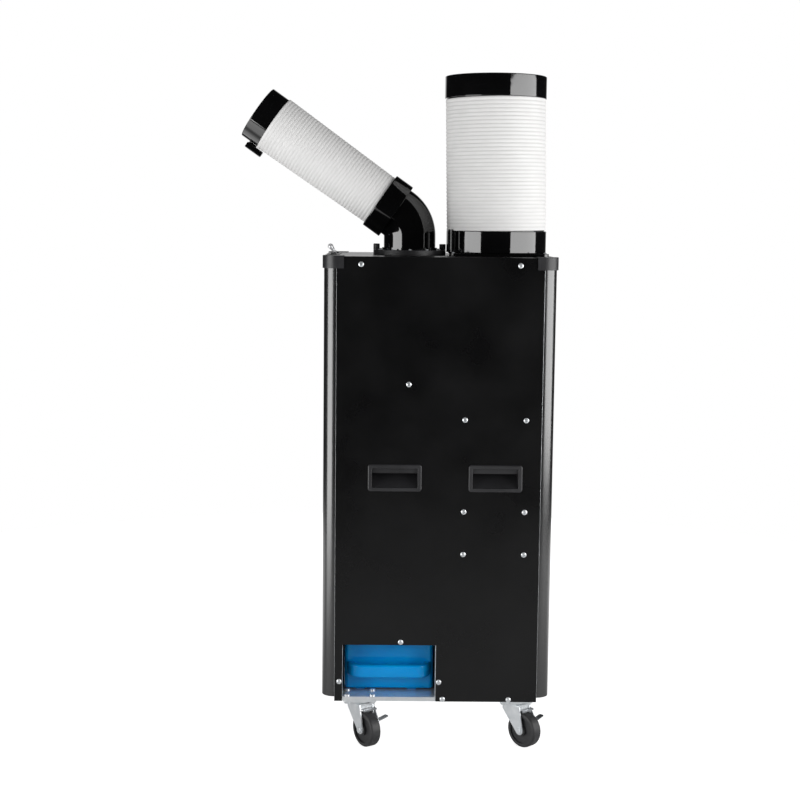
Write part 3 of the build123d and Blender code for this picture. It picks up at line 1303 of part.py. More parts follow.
def scroll_housing(x_middle, width, radius, neck, inlet_side, wheel_radius):
    """Blower housing: round shell, neck up to the cover, foot on the deck, eye on the inlet side."""
    half = width / 2

    def outline(inset):
        """The housing's section across the shaft, inset by the wall."""
        shell = Pos(0, SHAFT_Z) * Circle(radius - inset)
        duct = Pos(0, (SHAFT_Z + SCROLL_TOP) / 2) * Rectangle(neck - 2 * inset, SCROLL_TOP - SHAFT_Z)
        return shell + duct

    foot = Pos(0, (DECK_TOP + SHAFT_Z) / 2) * Rectangle(SCROLL_FOOT, SHAFT_Z - DECK_TOP)
    section = Plane(origin=(x_middle, 0, 0), x_dir=(0, 1, 0), z_dir=(1, 0, 0))
    housing = extrude(section * (outline(0) + foot), half, both=True)
    housing -= extrude(section * outline(SCROLL_WALL), half - SCROLL_WALL, both=True)
    eye_x = x_middle + inlet_side * half
    back_x = x_middle - inlet_side * half
    eye = wheel_radius - WHEEL_BLADE_DEPTH
    housing -= rod((eye_x, 0, SHAFT_Z), (eye_x - inlet_side * SCROLL_WALL, 0, SHAFT_Z), eye)
    back_hole = WHEEL_HUB + WHEEL_HUB_GAP
    return housing - rod((back_x, 0, SHAFT_Z), (back_x + inlet_side * SCROLL_WALL, 0, SHAFT_Z), back_hole)


def evaporator_scroll():
    """Blower housing of the cool side."""
    return scroll_housing(
        ELBOW_X, EVAPORATOR_SCROLL_WIDTH, EVAPORATOR_SCROLL_RADIUS, EVAPORATOR_NECK, -1, EVAPORATOR_WHEEL
    )


def condenser_scroll():
    """Blower housing of the exhaust side."""
    return scroll_housing(
        EXHAUST_X, CONDENSER_SCROLL_WIDTH, CONDENSER_SCROLL_RADIUS, CONDENSER_NECK, 1, CONDENSER_WHEEL
    )


def blower_wheel(x_middle, scroll_width, radius, inlet_side):
    """Squirrel-cage wheel: back disc with hub, blades and front ring."""
    width = scroll_width - 2 * WHEEL_SIDE_GAP
    depth = WHEEL_BLADE_DEPTH - 2 * WHEEL_BLADE_INSET
    blade = Pos(radius - WHEEL_BLADE_DEPTH / 2, 0) * Rectangle(depth, WHEEL_BLADE)
    blades = [Rot(0, 0, 360 * index / WHEEL_BLADES) * blade for index in range(WHEEL_BLADES)]
    cage = extrude(Sketch() + blades, width)
    cage += extrude(Circle(radius), WHEEL_DISC)
    cage += extrude(Circle(WHEEL_HUB), width * WHEEL_HUB_SHARE)
    ring = Circle(radius) - Circle(radius - WHEEL_BLADE_DEPTH)
    cage += Pos(0, 0, width - WHEEL_DISC) * extrude(ring, WHEEL_DISC)
    cage -= extrude(Circle(SHAFT_RADIUS), width)
    back = x_middle - inlet_side * width / 2
    return Plane(origin=(back, 0, SHAFT_Z), x_dir=(0, 1, 0), z_dir=(inlet_side, 0, 0)) * cage


def motor_span():
    """The motor's reach along X, between the two scrolls."""
    low = ELBOW_X + EVAPORATOR_SCROLL_WIDTH / 2 + MOTOR_GAP
    high = EXHAUST_X - CONDENSER_SCROLL_WIDTH / 2 - MOTOR_GAP
    return low, high


def fan_motor():
    """Double-ended motor on a foot that stands on the deck."""
    low, high = motor_span()
    motor = rod((low, 0, SHAFT_Z), (high, 0, SHAFT_Z), MOTOR_RADIUS)
    motor = fillet(motor.edges().filter_by(GeomType.CIRCLE), MOTOR_EDGE)
    foot_y = (-MOTOR_FOOT / 2, MOTOR_FOOT / 2)
    motor += block((low + MOTOR_GAP, high - MOTOR_GAP), foot_y, (DECK_TOP, SHAFT_Z - MOTOR_RADIUS / 2))
    return motor - rod((low, 0, SHAFT_Z), (high, 0, SHAFT_Z), SHAFT_RADIUS + RUN_FIT)


def fan_shaft():
    """One shaft through the motor that carries both wheels."""
    low = ELBOW_X - EVAPORATOR_SCROLL_WIDTH / 2 + WHEEL_SIDE_GAP - SHAFT_END
    high = EXHAUST_X + CONDENSER_SCROLL_WIDTH / 2 - WHEEL_SIDE_GAP + SHAFT_END
    return rod((low, 0, SHAFT_Z), (high, 0, SHAFT_Z), SHAFT_RADIUS)


def compressor():
    """Domed shell on grommets, with its accumulator beside it."""
    foot_low = BASE_TOP + COMPRESSOR_GROMMET_HEIGHT
    shell_low = foot_low + COMPRESSOR_FOOT_THICKNESS
    shell = upright(0, 0, shell_low, shell_low + COMPRESSOR_HEIGHT, COMPRESSOR_RADIUS)
    shell = fillet(shell.edges().filter_by(GeomType.CIRCLE), COMPRESSOR_DOME)
    hollow_top = shell_low + COMPRESSOR_HEIGHT - COMPRESSOR_DOME
    shell -= upright(0, 0, shell_low + COMPRESSOR_DOME, hollow_top, COMPRESSOR_RADIUS - COMPRESSOR_WALL)
    shell -= upright(0, 0, hollow_top, shell_low + COMPRESSOR_HEIGHT, PIPE_RADIUS - PIPE_WALL)
    foot = RectangleRounded(COMPRESSOR_FOOT, COMPRESSOR_FOOT, COMPRESSOR_GROMMET)
    shell += Pos(0, 0, foot_low) * extrude(foot, COMPRESSOR_FOOT_THICKNESS)
    inset = COMPRESSOR_FOOT / 2 - COMPRESSOR_GROMMET
    for x in (-inset, inset):
        for y in (-inset, inset):
            shell += upright(x, y, BASE_TOP, foot_low, COMPRESSOR_GROMMET)
    shell = Pos(COMPRESSOR_X, COMPRESSOR_Y, 0) * shell
    flask = upright(ACCUMULATOR_X, ACCUMULATOR_Y, ACCUMULATOR_LOW, ACCUMULATOR_HIGH, ACCUMULATOR_RADIUS)
    flask = fillet(flask.edges().filter_by(GeomType.CIRCLE), ACCUMULATOR_DOME)
    link_z = ACCUMULATOR_LOW + ACCUMULATOR_LINK
    toward = Vector(COMPRESSOR_X - ACCUMULATOR_X, COMPRESSOR_Y - ACCUMULATOR_Y)
    reach = toward.normalized() * (toward.length - COMPRESSOR_RADIUS + COMPRESSOR_WALL / 2)
    link_end = (ACCUMULATOR_X + reach.X, ACCUMULATOR_Y + reach.Y, link_z)
    link = rod((ACCUMULATOR_X, ACCUMULATOR_Y, link_z), link_end, PIPE_RADIUS)
    return shell + flask + link


def pipe(points):
    """A hollow pipe along straight runs with rounded corners."""
    path = FilletPolyline(*points, radius=PIPE_BEND)
    start = Vector(*points[0])
    plane = Plane(origin=start, z_dir=Vector(*points[1]) - start)
    return sweep(plane * (Circle(PIPE_RADIUS) - Circle(PIPE_RADIUS - PIPE_WALL)), path=path)


def refrigerant_pipes():
    """Suction, discharge and liquid lines; the liquid line has its drier."""
    evaporator = -COIL_FRONT + FIT
    condenser = COIL_FRONT - FIT
    suction = pipe([
        (evaporator, ACCUMULATOR_Y, PIPE_ENTRY),
        (SUCTION_X, ACCUMULATOR_Y, PIPE_ENTRY),
        (SUCTION_X, ACCUMULATOR_Y, PIPE_LEVEL),
        (ACCUMULATOR_X, ACCUMULATOR_Y, PIPE_LEVEL),
        (ACCUMULATOR_X, ACCUMULATOR_Y, ACCUMULATOR_HIGH + FIT),
    ])
    shell_top = BASE_TOP + COMPRESSOR_GROMMET_HEIGHT + COMPRESSOR_FOOT_THICKNESS + COMPRESSOR_HEIGHT
    discharge = pipe([
        (COMPRESSOR_X, COMPRESSOR_Y, shell_top + FIT),
        (COMPRESSOR_X, COMPRESSOR_Y, PIPE_LEVEL),
        (COMPRESSOR_X, DISCHARGE_Y, PIPE_LEVEL),
        (COMPRESSOR_X, DISCHARGE_Y, PIPE_ENTRY),
        (condenser, DISCHARGE_Y, PIPE_ENTRY),
    ])
    liquid = rod((evaporator, LIQUID_Y, LIQUID_Z), (condenser, LIQUID_Y, LIQUID_Z), PIPE_RADIUS)
    drier_half = DRIER_LENGTH / 2
    liquid += rod((-drier_half, LIQUID_Y, LIQUID_Z), (drier_half, LIQUID_Y, LIQUID_Z), DRIER_RADIUS)
    return group([suction, discharge, liquid])


def electrical_box():
    """Closed box that hangs on the tank-side panel by its four screws."""
    x_span = (BRACKET_SCREW_X[0] - BOX_MARGIN, BRACKET_SCREW_X[1] + BOX_MARGIN)
    z_span = (BRACKET_SCREW_Z[0] - BOX_MARGIN, BRACKET_SCREW_Z[1] + BOX_MARGIN)
    y_span = (-POST_FACE, -POST_FACE + BOX_DEPTH)
    box = block(x_span, y_span, z_span)
    box -= block(
        (x_span[0] + BOX_WALL, x_span[1] - BOX_WALL),
        (y_span[0] + BOX_WALL, y_span[1] - BOX_WALL),
        (z_span[0] + BOX_WALL, z_span[1] - BOX_WALL),
    )
    return box - screw_holes(-1, bracket_screws(), POST_FACE - BOX_WALL, POST_FACE)


def build():
    """Every node by name."""
    nodes = {
        "base_pan": base_pan(),
        "tank_side_panel": tank_side_panel(),
        "plain_side_panel": side_panel(1),
        "front_panel": end_panel(-1),
        "rear_panel": rear_panel(),
        "corner_posts": corner_posts(),
        "corner_caps": corner_caps(),
        "top_cover": top_cover(),
        "grip_cups": grip_cups(),
        "fasteners": fasteners(),
        "power_inlet": power_inlet(),
        "front_filter": intake_filter(-1),
        "rear_filter": intake_filter(1),
        "control_strip": control_strip(),
        "toggle_switch": toggle_switch(),
        "toggle_lever": toggle_lever(),
        "water_tank": water_tank(),
        "caster_plates": caster_plates(),
        "swivel_ring": swivel_ring(),
        "clamp_knobs": clamp_knobs(),
        "elbow": elbow(),
        "elbow_cuff": elbow_cuff(),
        "cold_hose": cold_hose(),
        "nozzle_cuff": nozzle_cuff(),
        "nozzle_clip": nozzle_clip(),
        "exhaust_base": exhaust_base(),
        "exhaust_lower_cuff": exhaust_lower_cuff(),
        "exhaust_hose": exhaust_hose(),
        "exhaust_top_cuff": exhaust_top_cuff(),
        "exhaust_clip": exhaust_clip(),
        "partition_deck": partition_deck(),
        "evaporator_coil": finned_coil(-1, DECK_TOP + TRAY_WALL),
        "condenser_coil": finned_coil(1, DECK_TOP),
        "drain_pan": drain_pan(),
        "evaporator_scroll": evaporator_scroll(),
        "condenser_scroll": condenser_scroll(),
        "evaporator_wheel": blower_wheel(ELBOW_X, EVAPORATOR_SCROLL_WIDTH, EVAPORATOR_WHEEL, -1),
        "condenser_wheel": blower_wheel(EXHAUST_X, CONDENSER_SCROLL_WIDTH, CONDENSER_WHEEL, 1),
        "fan_motor": fan_motor(),
        "fan_shaft": fan_shaft(),
        "compressor": compressor(),
        "refrigerant_pipes": refrigerant_pipes(),
        "electrical_box": electrical_box(),
    }
    for name, y in zip(("mode_button", "up_button", "down_button"), BUTTON_Y):
        nodes[name] = push_button(y)
    for name, side, place in caster_stations():
        nodes[f"caster_fork_{name}"] = place * caster_fork(side < 0)
        nodes[f"caster_axle_{name}"] = place * caster_axle()
        nodes[f"caster_wheel_{name}"] = place * caster_wheel()
        if side < 0:
            nodes[f"caster_brake_{name}"] = place * caster_brake()
    return nodes


def main():
    """Write one file for each node, in the object's own frame."""
    os.makedirs("parts", exist_ok=True)
    for name, piece in build().items():
        export_step(FRAME * piece, f"parts/{name}.step")


if __name__ == "__main__":
    main()
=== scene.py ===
"""Looks of a portable spot cooler: finishes, ribbed hoses, small fittings, studio and camera.

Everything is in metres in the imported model's frame: +Z is up, the nozzle points to -X and the water
tank opens to -Y, which is the side that the camera sees.
"""

import json
import logging
import math
from collections.abc import Iterable
from dataclasses import dataclass
from enum import Enum

import bmesh
import bpy
from mathutils import Matrix, Vector


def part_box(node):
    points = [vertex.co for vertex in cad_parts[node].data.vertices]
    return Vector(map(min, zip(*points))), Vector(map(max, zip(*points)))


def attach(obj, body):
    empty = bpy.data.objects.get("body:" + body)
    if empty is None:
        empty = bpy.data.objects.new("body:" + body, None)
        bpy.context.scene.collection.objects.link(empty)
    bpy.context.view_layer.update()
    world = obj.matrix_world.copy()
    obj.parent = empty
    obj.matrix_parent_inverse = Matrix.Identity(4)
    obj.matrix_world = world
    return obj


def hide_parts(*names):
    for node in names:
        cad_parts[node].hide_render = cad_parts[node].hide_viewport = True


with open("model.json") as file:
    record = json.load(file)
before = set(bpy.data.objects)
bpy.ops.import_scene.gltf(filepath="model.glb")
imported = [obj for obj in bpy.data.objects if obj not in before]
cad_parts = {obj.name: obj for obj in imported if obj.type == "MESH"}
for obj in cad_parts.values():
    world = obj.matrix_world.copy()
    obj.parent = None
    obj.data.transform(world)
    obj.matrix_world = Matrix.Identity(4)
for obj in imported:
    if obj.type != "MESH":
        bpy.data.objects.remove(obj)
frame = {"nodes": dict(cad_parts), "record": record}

LOG = logging.getLogger("spot_cooler")
Colour = tuple[float, float, float]
Span = tuple[float, float]
NOISE_MIDDLE: Span = (0.3, 0.7)
MERGE_DISTANCE = 1e-6


class Slot(Enum):
    """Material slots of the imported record."""

    CABINET = "cabinet_paint"
    POST = "post_paint"
    ZINC = "zinc"
    GLOSS = "gloss_black"
    MOULDED = "dark_plastic"
    HOSE = "hose_white"
    TANK = "tank_blue"
    RUBBER = "wheel_rubber"
    CHROME = "lever_chrome"
    GALVANISED = "galvanised"
    FINS = "fins"
    COPPER = "copper"
    COMPRESSOR = "compressor_paint"
    BRAKE = "brake_steel"


class Body(Enum):
    """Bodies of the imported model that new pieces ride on."""

    CABINET = "cabinet"
    OUTLET = "outlet"
    FRONT_FILTER = "front_filter"
    REAR_FILTER = "rear_filter"


class Bench:
    """A new material with helpers that add and link its nodes."""

    def __init__(self, name: str) -> None:
        """Start a material.

        Args:
            name: The material's name.
        """
        self.material = bpy.data.materials.new(name)
        self.material.use_nodes = True
        self.tree = self.material.node_tree
        self.shader = self.tree.nodes["Principled BSDF"]
        self.coords = self.tree.nodes.new("ShaderNodeTexCoord").outputs["Object"]

    def set(self, **values: float | Colour) -> None:
        """Set constant values on the shader.

        Args:
            **values: Socket names, with underscores for spaces, and their values.
        """
        for name, value in values.items():
            socket = self.shader.inputs[name.replace("_", " ")]
            socket.default_value = (*value, 1.0) if isinstance(value, tuple) else value

    def stretched(self, scale: Colour) -> bpy.types.NodeSocket:
        """Object coordinates stretched along the axes.

        Args:
            scale: Scale along X, Y and Z.

        Returns:
            The stretched coordinates.
        """
        mapping = self.tree.nodes.new("ShaderNodeMapping")
        mapping.inputs["Scale"].default_value = scale
        self.tree.links.new(self.coords, mapping.inputs["Vector"])
        return mapping.outputs["Vector"]

    def noise(
        self, scale: float, detail: float = 3.0, coords: bpy.types.NodeSocket | None = None
    ) -> bpy.types.NodeSocket:
        """A noise pattern.

        Args:
            scale: Cells per metre.
            detail: Octaves of finer noise.
            coords: Coordinates to read, or None for plain object coordinates.

        Returns:
            The pattern's factor.
        """
        texture = self.tree.nodes.new("ShaderNodeTexNoise")
        texture.inputs["Scale"].default_value = scale
        texture.inputs["Detail"].default_value = detail
        self.tree.links.new(coords or self.coords, texture.inputs["Vector"])
        return texture.outputs["Fac"]

    def span(self, factor: bpy.types.NodeSocket, low: float, high: float) -> bpy.types.NodeSocket:
        """Map the middle of a noise factor to a range of values.

        Args:
            factor: A factor that mostly lies in NOISE_MIDDLE.
            low: Value at the low end.
            high: Value at the high end.

        Returns:
            The mapped value.
        """
        return self.ramp(factor, NOISE_MIDDLE, (low, high))

    def ramp(self, value: bpy.types.NodeSocket, start_end: Span, low_high: Span) -> bpy.types.NodeSocket:
        """Map a value to a range, and hold it at the range's ends.

        Args:
            value: The value to map.
            start_end: Where it starts and stops to count.
            low_high: What comes out there.

        Returns:
            The mapped value.
        """
        ranged = self.tree.nodes.new("ShaderNodeMapRange")
        ranged.inputs["From Min"].default_value = start_end[0]
        ranged.inputs["From Max"].default_value = start_end[1]
        ranged.inputs["To Min"].default_value = low_high[0]
        ranged.inputs["To Max"].default_value = low_high[1]
        self.tree.links.new(value, ranged.inputs["Value"])
        return ranged.outputs["Result"]

    def join(self, operation: str, *values: bpy.types.NodeSocket) -> bpy.types.NodeSocket:
        """Chain values by one kind of sum.

        Args:
            operation: The sum's name, such as MULTIPLY or MAXIMUM.
            *values: The values, two or more.

        Returns:
            What comes out.
        """
        total = values[0]
        for value in values[1:]:
            sum_node = self.tree.nodes.new("ShaderNodeMath")
            sum_node.operation = operation
            self.tree.links.new(total, sum_node.inputs[0])
            self.tree.links.new(value, sum_node.inputs[1])
            total = sum_node.outputs["Value"]
        return total

    def blend(self, factor: bpy.types.NodeSocket, low: Colour, high: Colour) -> bpy.types.NodeSocket:
        """Mix two colours by a factor.

        Args:
            factor: Where to read between the colours.
            low: Colour at 0.
            high: Colour at 1.

        Returns:
            The mixed colour.
        """
        mix = self.tree.nodes.new("ShaderNodeMix")
        mix.data_type = "RGBA"
        mix.inputs["A"].default_value = (*low, 1.0)
        mix.inputs["B"].default_value = (*high, 1.0)
        self.tree.links.new(factor, mix.inputs["Factor"])
        return mix.outputs["Result"]

    def drive(self, name: str, value: bpy.types.NodeSocket) -> None:
        """Link a value to one of the shader's sockets.

        Args:
            name: The socket's name.
            value: What feeds it.
        """
        self.tree.links.new(value, self.shader.inputs[name])

    def bump(self, height: bpy.types.NodeSocket, depth: float) -> None:
        """Give the surface a relief.

        Args:
            height: The relief's height factor.
            depth: How deep the relief is, in metres.
        """
        relief = self.tree.nodes.new("ShaderNodeBump")
        relief.inputs["Distance"].default_value = depth
        relief.inputs["Strength"].default_value = 1.0
        self.tree.links.new(height, relief.inputs["Height"])
        self.drive("Normal", relief.outputs["Normal"])


@dataclass(frozen=True)
class Finish:
    """What all finishes share: a slot, two shades that the surface wanders between, and its gloss."""

    slot: Slot
    shade: Colour
    tint: Colour
    rough: Span

    def material(self) -> bpy.types.Material:
        """Make the finish's material.

        Returns:
            The new material.
        """
        bench = Bench(self.slot.value)
        self.paint(bench)
        return bench.material

    def paint(self, bench: Bench) -> None:
        """Lay the finish's nodes; each kind of finish does this in its own way."""
        raise NotImplementedError


@dataclass(frozen=True)
class PowderCoat(Finish):
    """Baked coat on sheet metal: fine orange peel, and faint smudges from handling."""

    smudge_scale: float = 7.0
    peel_scale: float = 1400.0
    peel_depth: float = 0.00004
    specular: float = 0.35
    index: float = 1.5

    def paint(self, bench: Bench) -> None:
        """Lay the coat's smudges and its orange peel."""
        smudges = bench.noise(self.smudge_scale, detail=6.0)
        bench.drive("Base Color", bench.blend(bench.span(smudges, 0.0, 1.0), self.shade, self.tint))
        bench.drive("Roughness", bench.span(smudges, *self.rough))
        bench.set(Specular_IOR_Level=self.specular, IOR=self.index)
        bench.bump(bench.noise(self.peel_scale, detail=1.0), self.peel_depth)


@dataclass(frozen=True)
class MouldedPlastic(Finish):
    """Injection moulding: fine grain in satin pieces, a slow ripple in glossy ones."""

    patch_scale: float = 18.0
    grain_scale: float = 1800.0
    grain_depth: float = 0.00005
    specular: float = 0.5

    def paint(self, bench: Bench) -> None:
        """Lay the grain and the change of gloss over the piece."""
        patches = bench.noise(self.patch_scale, detail=4.0)
        bench.drive("Base Color", bench.blend(bench.span(patches, 0.0, 1.0), self.shade, self.tint))
        bench.drive("Roughness", bench.span(patches, *self.rough))
        bench.set(Specular_IOR_Level=self.specular)
        bench.bump(bench.noise(self.grain_scale, detail=2.0), self.grain_depth)


@dataclass(frozen=True)
class PlatedMetal(Finish):
    """Bare or plated metal with a drawn grain and cloudy plating."""

    cloud_scale: float = 60.0
    grain: Colour = (40.0, 40.0, 900.0)
    grain_depth: float = 0.000004
    metallic: float = 1.0

    def paint(self, bench: Bench) -> None:
        """Lay the plating's clouds and the drawn grain."""
        clouds = bench.noise(self.cloud_scale, detail=4.0)
        bench.drive("Base Color", bench.blend(bench.span(clouds, 0.0, 1.0), self.shade, self.tint))
        bench.drive("Roughness", bench.span(clouds, *self.rough))
        bench.set(Metallic=self.metallic)
        bench.bump(bench.noise(1.0, coords=bench.stretched(self.grain)), self.grain_depth)


@dataclass(frozen=True)
class HosePlastic(Finish):
    """White ribbed hose: matt, with painted shade in the grooves between its ribs."""

    # Painted shade: the darker colour that the grooves between the ribs are mixed towards.
    painted_groove_shade: Colour = (0.74, 0.735, 0.725)
    shade_scale: float = 30.0
    gloss_scale: float = 80.0
    grain_scale: float = 400.0
    grain_depth: float = 0.00001

    def paint(self, bench: Bench) -> None:
        """Lay painted shade in the grooves by the groove attribute, and a faint cast grain."""
        groove = bench.tree.nodes.new("ShaderNodeAttribute")
        groove.attribute_name = RibbedHose.GROOVE
        shades = bench.span(bench.noise(self.shade_scale), 0.0, 1.0)
        unshaded_colour = bench.blend(shades, self.shade, self.tint)
        # Painted shade: the deeper a point lies in a groove, the more of the darker colour it gets.
        mix = bench.tree.nodes.new("ShaderNodeMix")
        mix.data_type = "RGBA"
        mix.inputs["B"].default_value = (*self.painted_groove_shade, 1.0)
        bench.tree.links.new(groove.outputs["Fac"], mix.inputs["Factor"])
        bench.tree.links.new(unshaded_colour, mix.inputs["A"])
        bench.drive("Base Color", mix.outputs["Result"])
        bench.drive("Roughness", bench.span(bench.noise(self.gloss_scale), *self.rough))
        bench.bump(bench.noise(self.grain_scale), self.grain_depth)


@dataclass(frozen=True)
class TankPlastic(Finish):
    """Blow-moulded blue plastic that lets a little light into its wall."""

    glow: float = 0.35
    glow_depth: float = 0.006
    specular: float = 0.3
    flow_scale: Colour = (9.0, 9.0, 26.0)
    gloss_scale: float = 50.0
    ripple_scale: float = 45.0
    ripple_depth: float = 0.00015

    def paint(self, bench: Bench) -> None:
        """Lay uneven wall colour, the soft glow of the wall and a rippled gloss."""
        flow = bench.noise(1.0, detail=3.0, coords=bench.stretched(self.flow_scale))
        bench.drive("Base Color", bench.blend(bench.span(flow, 0.0, 1.0), self.shade, self.tint))
        bench.drive("Roughness", bench.span(bench.noise(self.gloss_scale), *self.rough))
        bench.set(Subsurface_Weight=self.glow, Subsurface_Scale=self.glow_depth)
        bench.set(Specular_IOR_Level=self.specular)
        bench.bump(bench.noise(self.ripple_scale, detail=2.0), self.ripple_depth)


@dataclass(frozen=True)
class Rubber(Finish):
    """Moulded rubber: dull, with scuffs and embedded dust."""

    scuff_scale: float = 110.0
    skin_scale: float = 1600.0
    skin_depth: float = 0.00012

    def paint(self, bench: Bench) -> None:
        """Lay scuffs and a fine skin."""
        scuffs = bench.noise(self.scuff_scale, detail=6.0)
        bench.drive("Base Color", bench.blend(bench.span(scuffs, 0.0, 1.0), self.shade, self.tint))
        bench.drive("Roughness", bench.span(scuffs, *self.rough))
        bench.bump(bench.noise(self.skin_scale), self.skin_depth)


FINISHES: tuple[Finish, ...] = (
    PowderCoat(
        Slot.CABINET,
        (0.0015, 0.0015, 0.0017),
        (0.0042, 0.0042, 0.0046),
        (0.25, 0.34),
        specular=0.4,
    ),
    PowderCoat(
        Slot.POST,
        (0.011, 0.011, 0.0115),
        (0.014, 0.014, 0.0145),
        (0.19, 0.25),
        smudge_scale=5.0,
        peel_depth=0.00002,
        specular=1.0,
        index=1.6,
    ),
    PlatedMetal(Slot.ZINC, (0.8, 0.835, 0.86), (0.9, 0.92, 0.94), (0.3, 0.4), metallic=0.7),
    MouldedPlastic(
        Slot.GLOSS,
        (0.002, 0.002, 0.0022),
        (0.003, 0.003, 0.0034),
        (0.04, 0.08),
        grain_scale=14.0,
        grain_depth=0.0004,
        specular=0.95,
    ),
    MouldedPlastic(
        Slot.MOULDED,
        (0.021, 0.021, 0.0228),
        (0.028, 0.028, 0.0305),
        (0.34, 0.44),
        specular=0.55,
    ),
    HosePlastic(Slot.HOSE, (0.82, 0.815, 0.81), (0.86, 0.855, 0.85), (0.5, 0.62)),
    TankPlastic(Slot.TANK, (0.0008, 0.25, 0.64), (0.001, 0.32, 0.74), (0.08, 0.14)),
    Rubber(Slot.RUBBER, (0.024, 0.024, 0.025), (0.036, 0.036, 0.038), (0.42, 0.58)),
    PlatedMetal(Slot.CHROME, (0.8, 0.81, 0.83), (0.88, 0.88, 0.9), (0.34, 0.4), metallic=0.6),
    PlatedMetal(Slot.GALVANISED, (0.5, 0.52, 0.54), (0.62, 0.64, 0.66), (0.35, 0.5)),
    PlatedMetal(Slot.FINS, (0.7, 0.71, 0.73), (0.8, 0.81, 0.82), (0.3, 0.4)),
    PlatedMetal(Slot.COPPER, (0.6, 0.25, 0.13), (0.76, 0.38, 0.22), (0.25, 0.4)),
    PowderCoat(Slot.COMPRESSOR, (0.009, 0.009, 0.0095), (0.013, 0.013, 0.014), (0.3, 0.4)),
    PlatedMetal(Slot.BRAKE, (0.32, 0.335, 0.35), (0.42, 0.435, 0.45), (0.3, 0.4), metallic=0.85),
)


class Palette:
    """The finishes' materials, made once each, and what they are put on."""

    def __init__(self, finishes: Iterable[Finish]) -> None:
        """Make every material.

        Args:
            finishes: The finishes, one for each slot.
        """
        self.materials = {finish.slot: finish.material() for finish in finishes}

    def dress_frame(self) -> None:
        """Give every CAD node the finish of its slot in the record."""
        for row in frame["record"]["subparts"]:
            node = frame["nodes"][row["node"]]
            node.data.materials.clear()
            node.data.materials.append(self.materials[Slot(row["material_slot"])])

    def place(self, mesh: bmesh.types.BMesh, name: str, slot: Slot, body: Body, *nodes: str) -> None:
        """Turn a finished mesh into a piece of the object.

        Args:
            mesh: The piece's mesh, in place; it is freed.
            name: The piece's name.
            slot: The finish that it gets.
            body: The body that it rides on.
            *nodes: CAD nodes that it replaces.
        """
        data = bpy.data.meshes.new(name)
        mesh.to_mesh(data)
        mesh.free()
        data.materials.append(self.materials[slot])
        piece = bpy.data.objects.new(name, data)
        bpy.context.scene.collection.objects.link(piece)
        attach(piece, body.value)
        if nodes:
            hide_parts(*nodes)
        LOG.info("%s rides on %s", name, body.value)


@dataclass
class RibbedHose:
    """A hose of round ribs along a straight line, fitted to the CAD hose that it replaces."""

    GROOVE = "groove"

    node: str
    body: Body
    ribs: int
    foot: Vector
    tip: Vector
    foot_radius: float
    tip_radius: float
    rib_depth: float = 0.0014
    rib_fullness: float = 0.7
    wall: float = 0.0012
    rib_points: int = 8
    sides: int = 112

    def outline(self, mesh: bmesh.types.BMesh) -> list[bmesh.types.BMVert]:
        """Draw half of the hose's section: ribs up the outside and the bore back down.

        Args:
            mesh: The mesh to draw in, with the hose along Z.

        Returns:
            The outline's points in order, as a closed loop.
        """
        length = (self.tip - self.foot).length
        count = self.ribs * self.rib_points
        points = []
        for index in range(count + 1):
            share = index / count
            crest = self.foot_radius + (self.tip_radius - self.foot_radius) * share
            swell = abs(math.sin(math.pi * index / self.rib_points)) ** self.rib_fullness
            points.append((crest - self.rib_depth * (1 - swell), share * length))
        bore = self.rib_depth + self.wall
        points.append((self.tip_radius - bore, length))
        points.append((self.foot_radius - bore, 0.0))
        return [mesh.verts.new((radius, 0.0, height)) for radius, height in points]

    def mesh(self) -> bmesh.types.BMesh:
        """Spin the section and lay it along the hose's line.

        Returns:
            The hose's mesh, with the groove attribute on its points.
        """
        mesh = bmesh.new()
        loop = self.outline(mesh)
        edges = [mesh.edges.new((loop[i - 1], loop[i])) for i in range(len(loop))]
        bmesh.ops.spin(
            mesh,
            geom=loop + edges,
            axis=(0, 0, 1),
            cent=(0, 0, 0),
            angle=math.tau,
            steps=self.sides,
            use_merge=True,
        )
        bmesh.ops.remove_doubles(mesh, verts=mesh.verts, dist=MERGE_DISTANCE)
        bmesh.ops.recalc_face_normals(mesh, faces=mesh.faces)
        self.mark_grooves(mesh)
        run = self.tip - self.foot
        turn = Vector((0, 0, 1)).rotation_difference(run).to_matrix().to_4x4()
        bmesh.ops.transform(mesh, matrix=Matrix.Translation(self.foot) @ turn, verts=mesh.verts)
        for face in mesh.faces:
            face.smooth = True
        return mesh

    def mark_grooves(self, mesh: bmesh.types.BMesh) -> None:
        """Write how deep in a groove each point lies, from 0 on a crest to 1.

        Args:
            mesh: The hose's mesh, still along Z.
        """
        layer = mesh.verts.layers.float.new(self.GROOVE)
        length = (self.tip - self.foot).length
        for vert in mesh.verts:
            crest = self.foot_radius + (self.tip_radius - self.foot_radius) * vert.co.z / length
            depth = (crest - vert.co.xy.length) / self.rib_depth
            vert[layer] = min(max(depth, 0.0), 1.0)

    def build(self, palette: Palette) -> None:
        """Put the hose in place of its CAD node.

        Args:
            palette: The finishes.
        """
        palette.place(self.mesh(), f"{self.node}_ribs", Slot.HOSE, self.body, self.node)


def node_points(node: str) -> list[Vector]:
    """All points of a CAD node's mesh.

    Args:
        node: The node's name.

    Returns:
        Its points in the frame.
    """
    return [vert.co.copy() for vert in frame["nodes"][node].data.vertices]


def rounded_bar(mesh: bmesh.types.BMesh, low: Vector, high: Vector, bevel: float) -> None:
    """Add a bar with rounded edges.

    Args:
        mesh: The mesh to add it to.
        low: The bar's low corner.
        high: The bar's high corner.
        bevel: How far the rounding reaches from each edge.
    """
    place = Matrix.Translation((low + high) / 2) @ Matrix.Diagonal((*(high - low), 1.0))
    made = bmesh.ops.create_cube(mesh, size=1.0, matrix=place)
    edges = list({edge for vert in made["verts"] for edge in vert.link_edges})
    bmesh.ops.bevel(mesh, geom=edges, offset=bevel, affect="EDGES", segments=2, profile=0.5, material=-1)


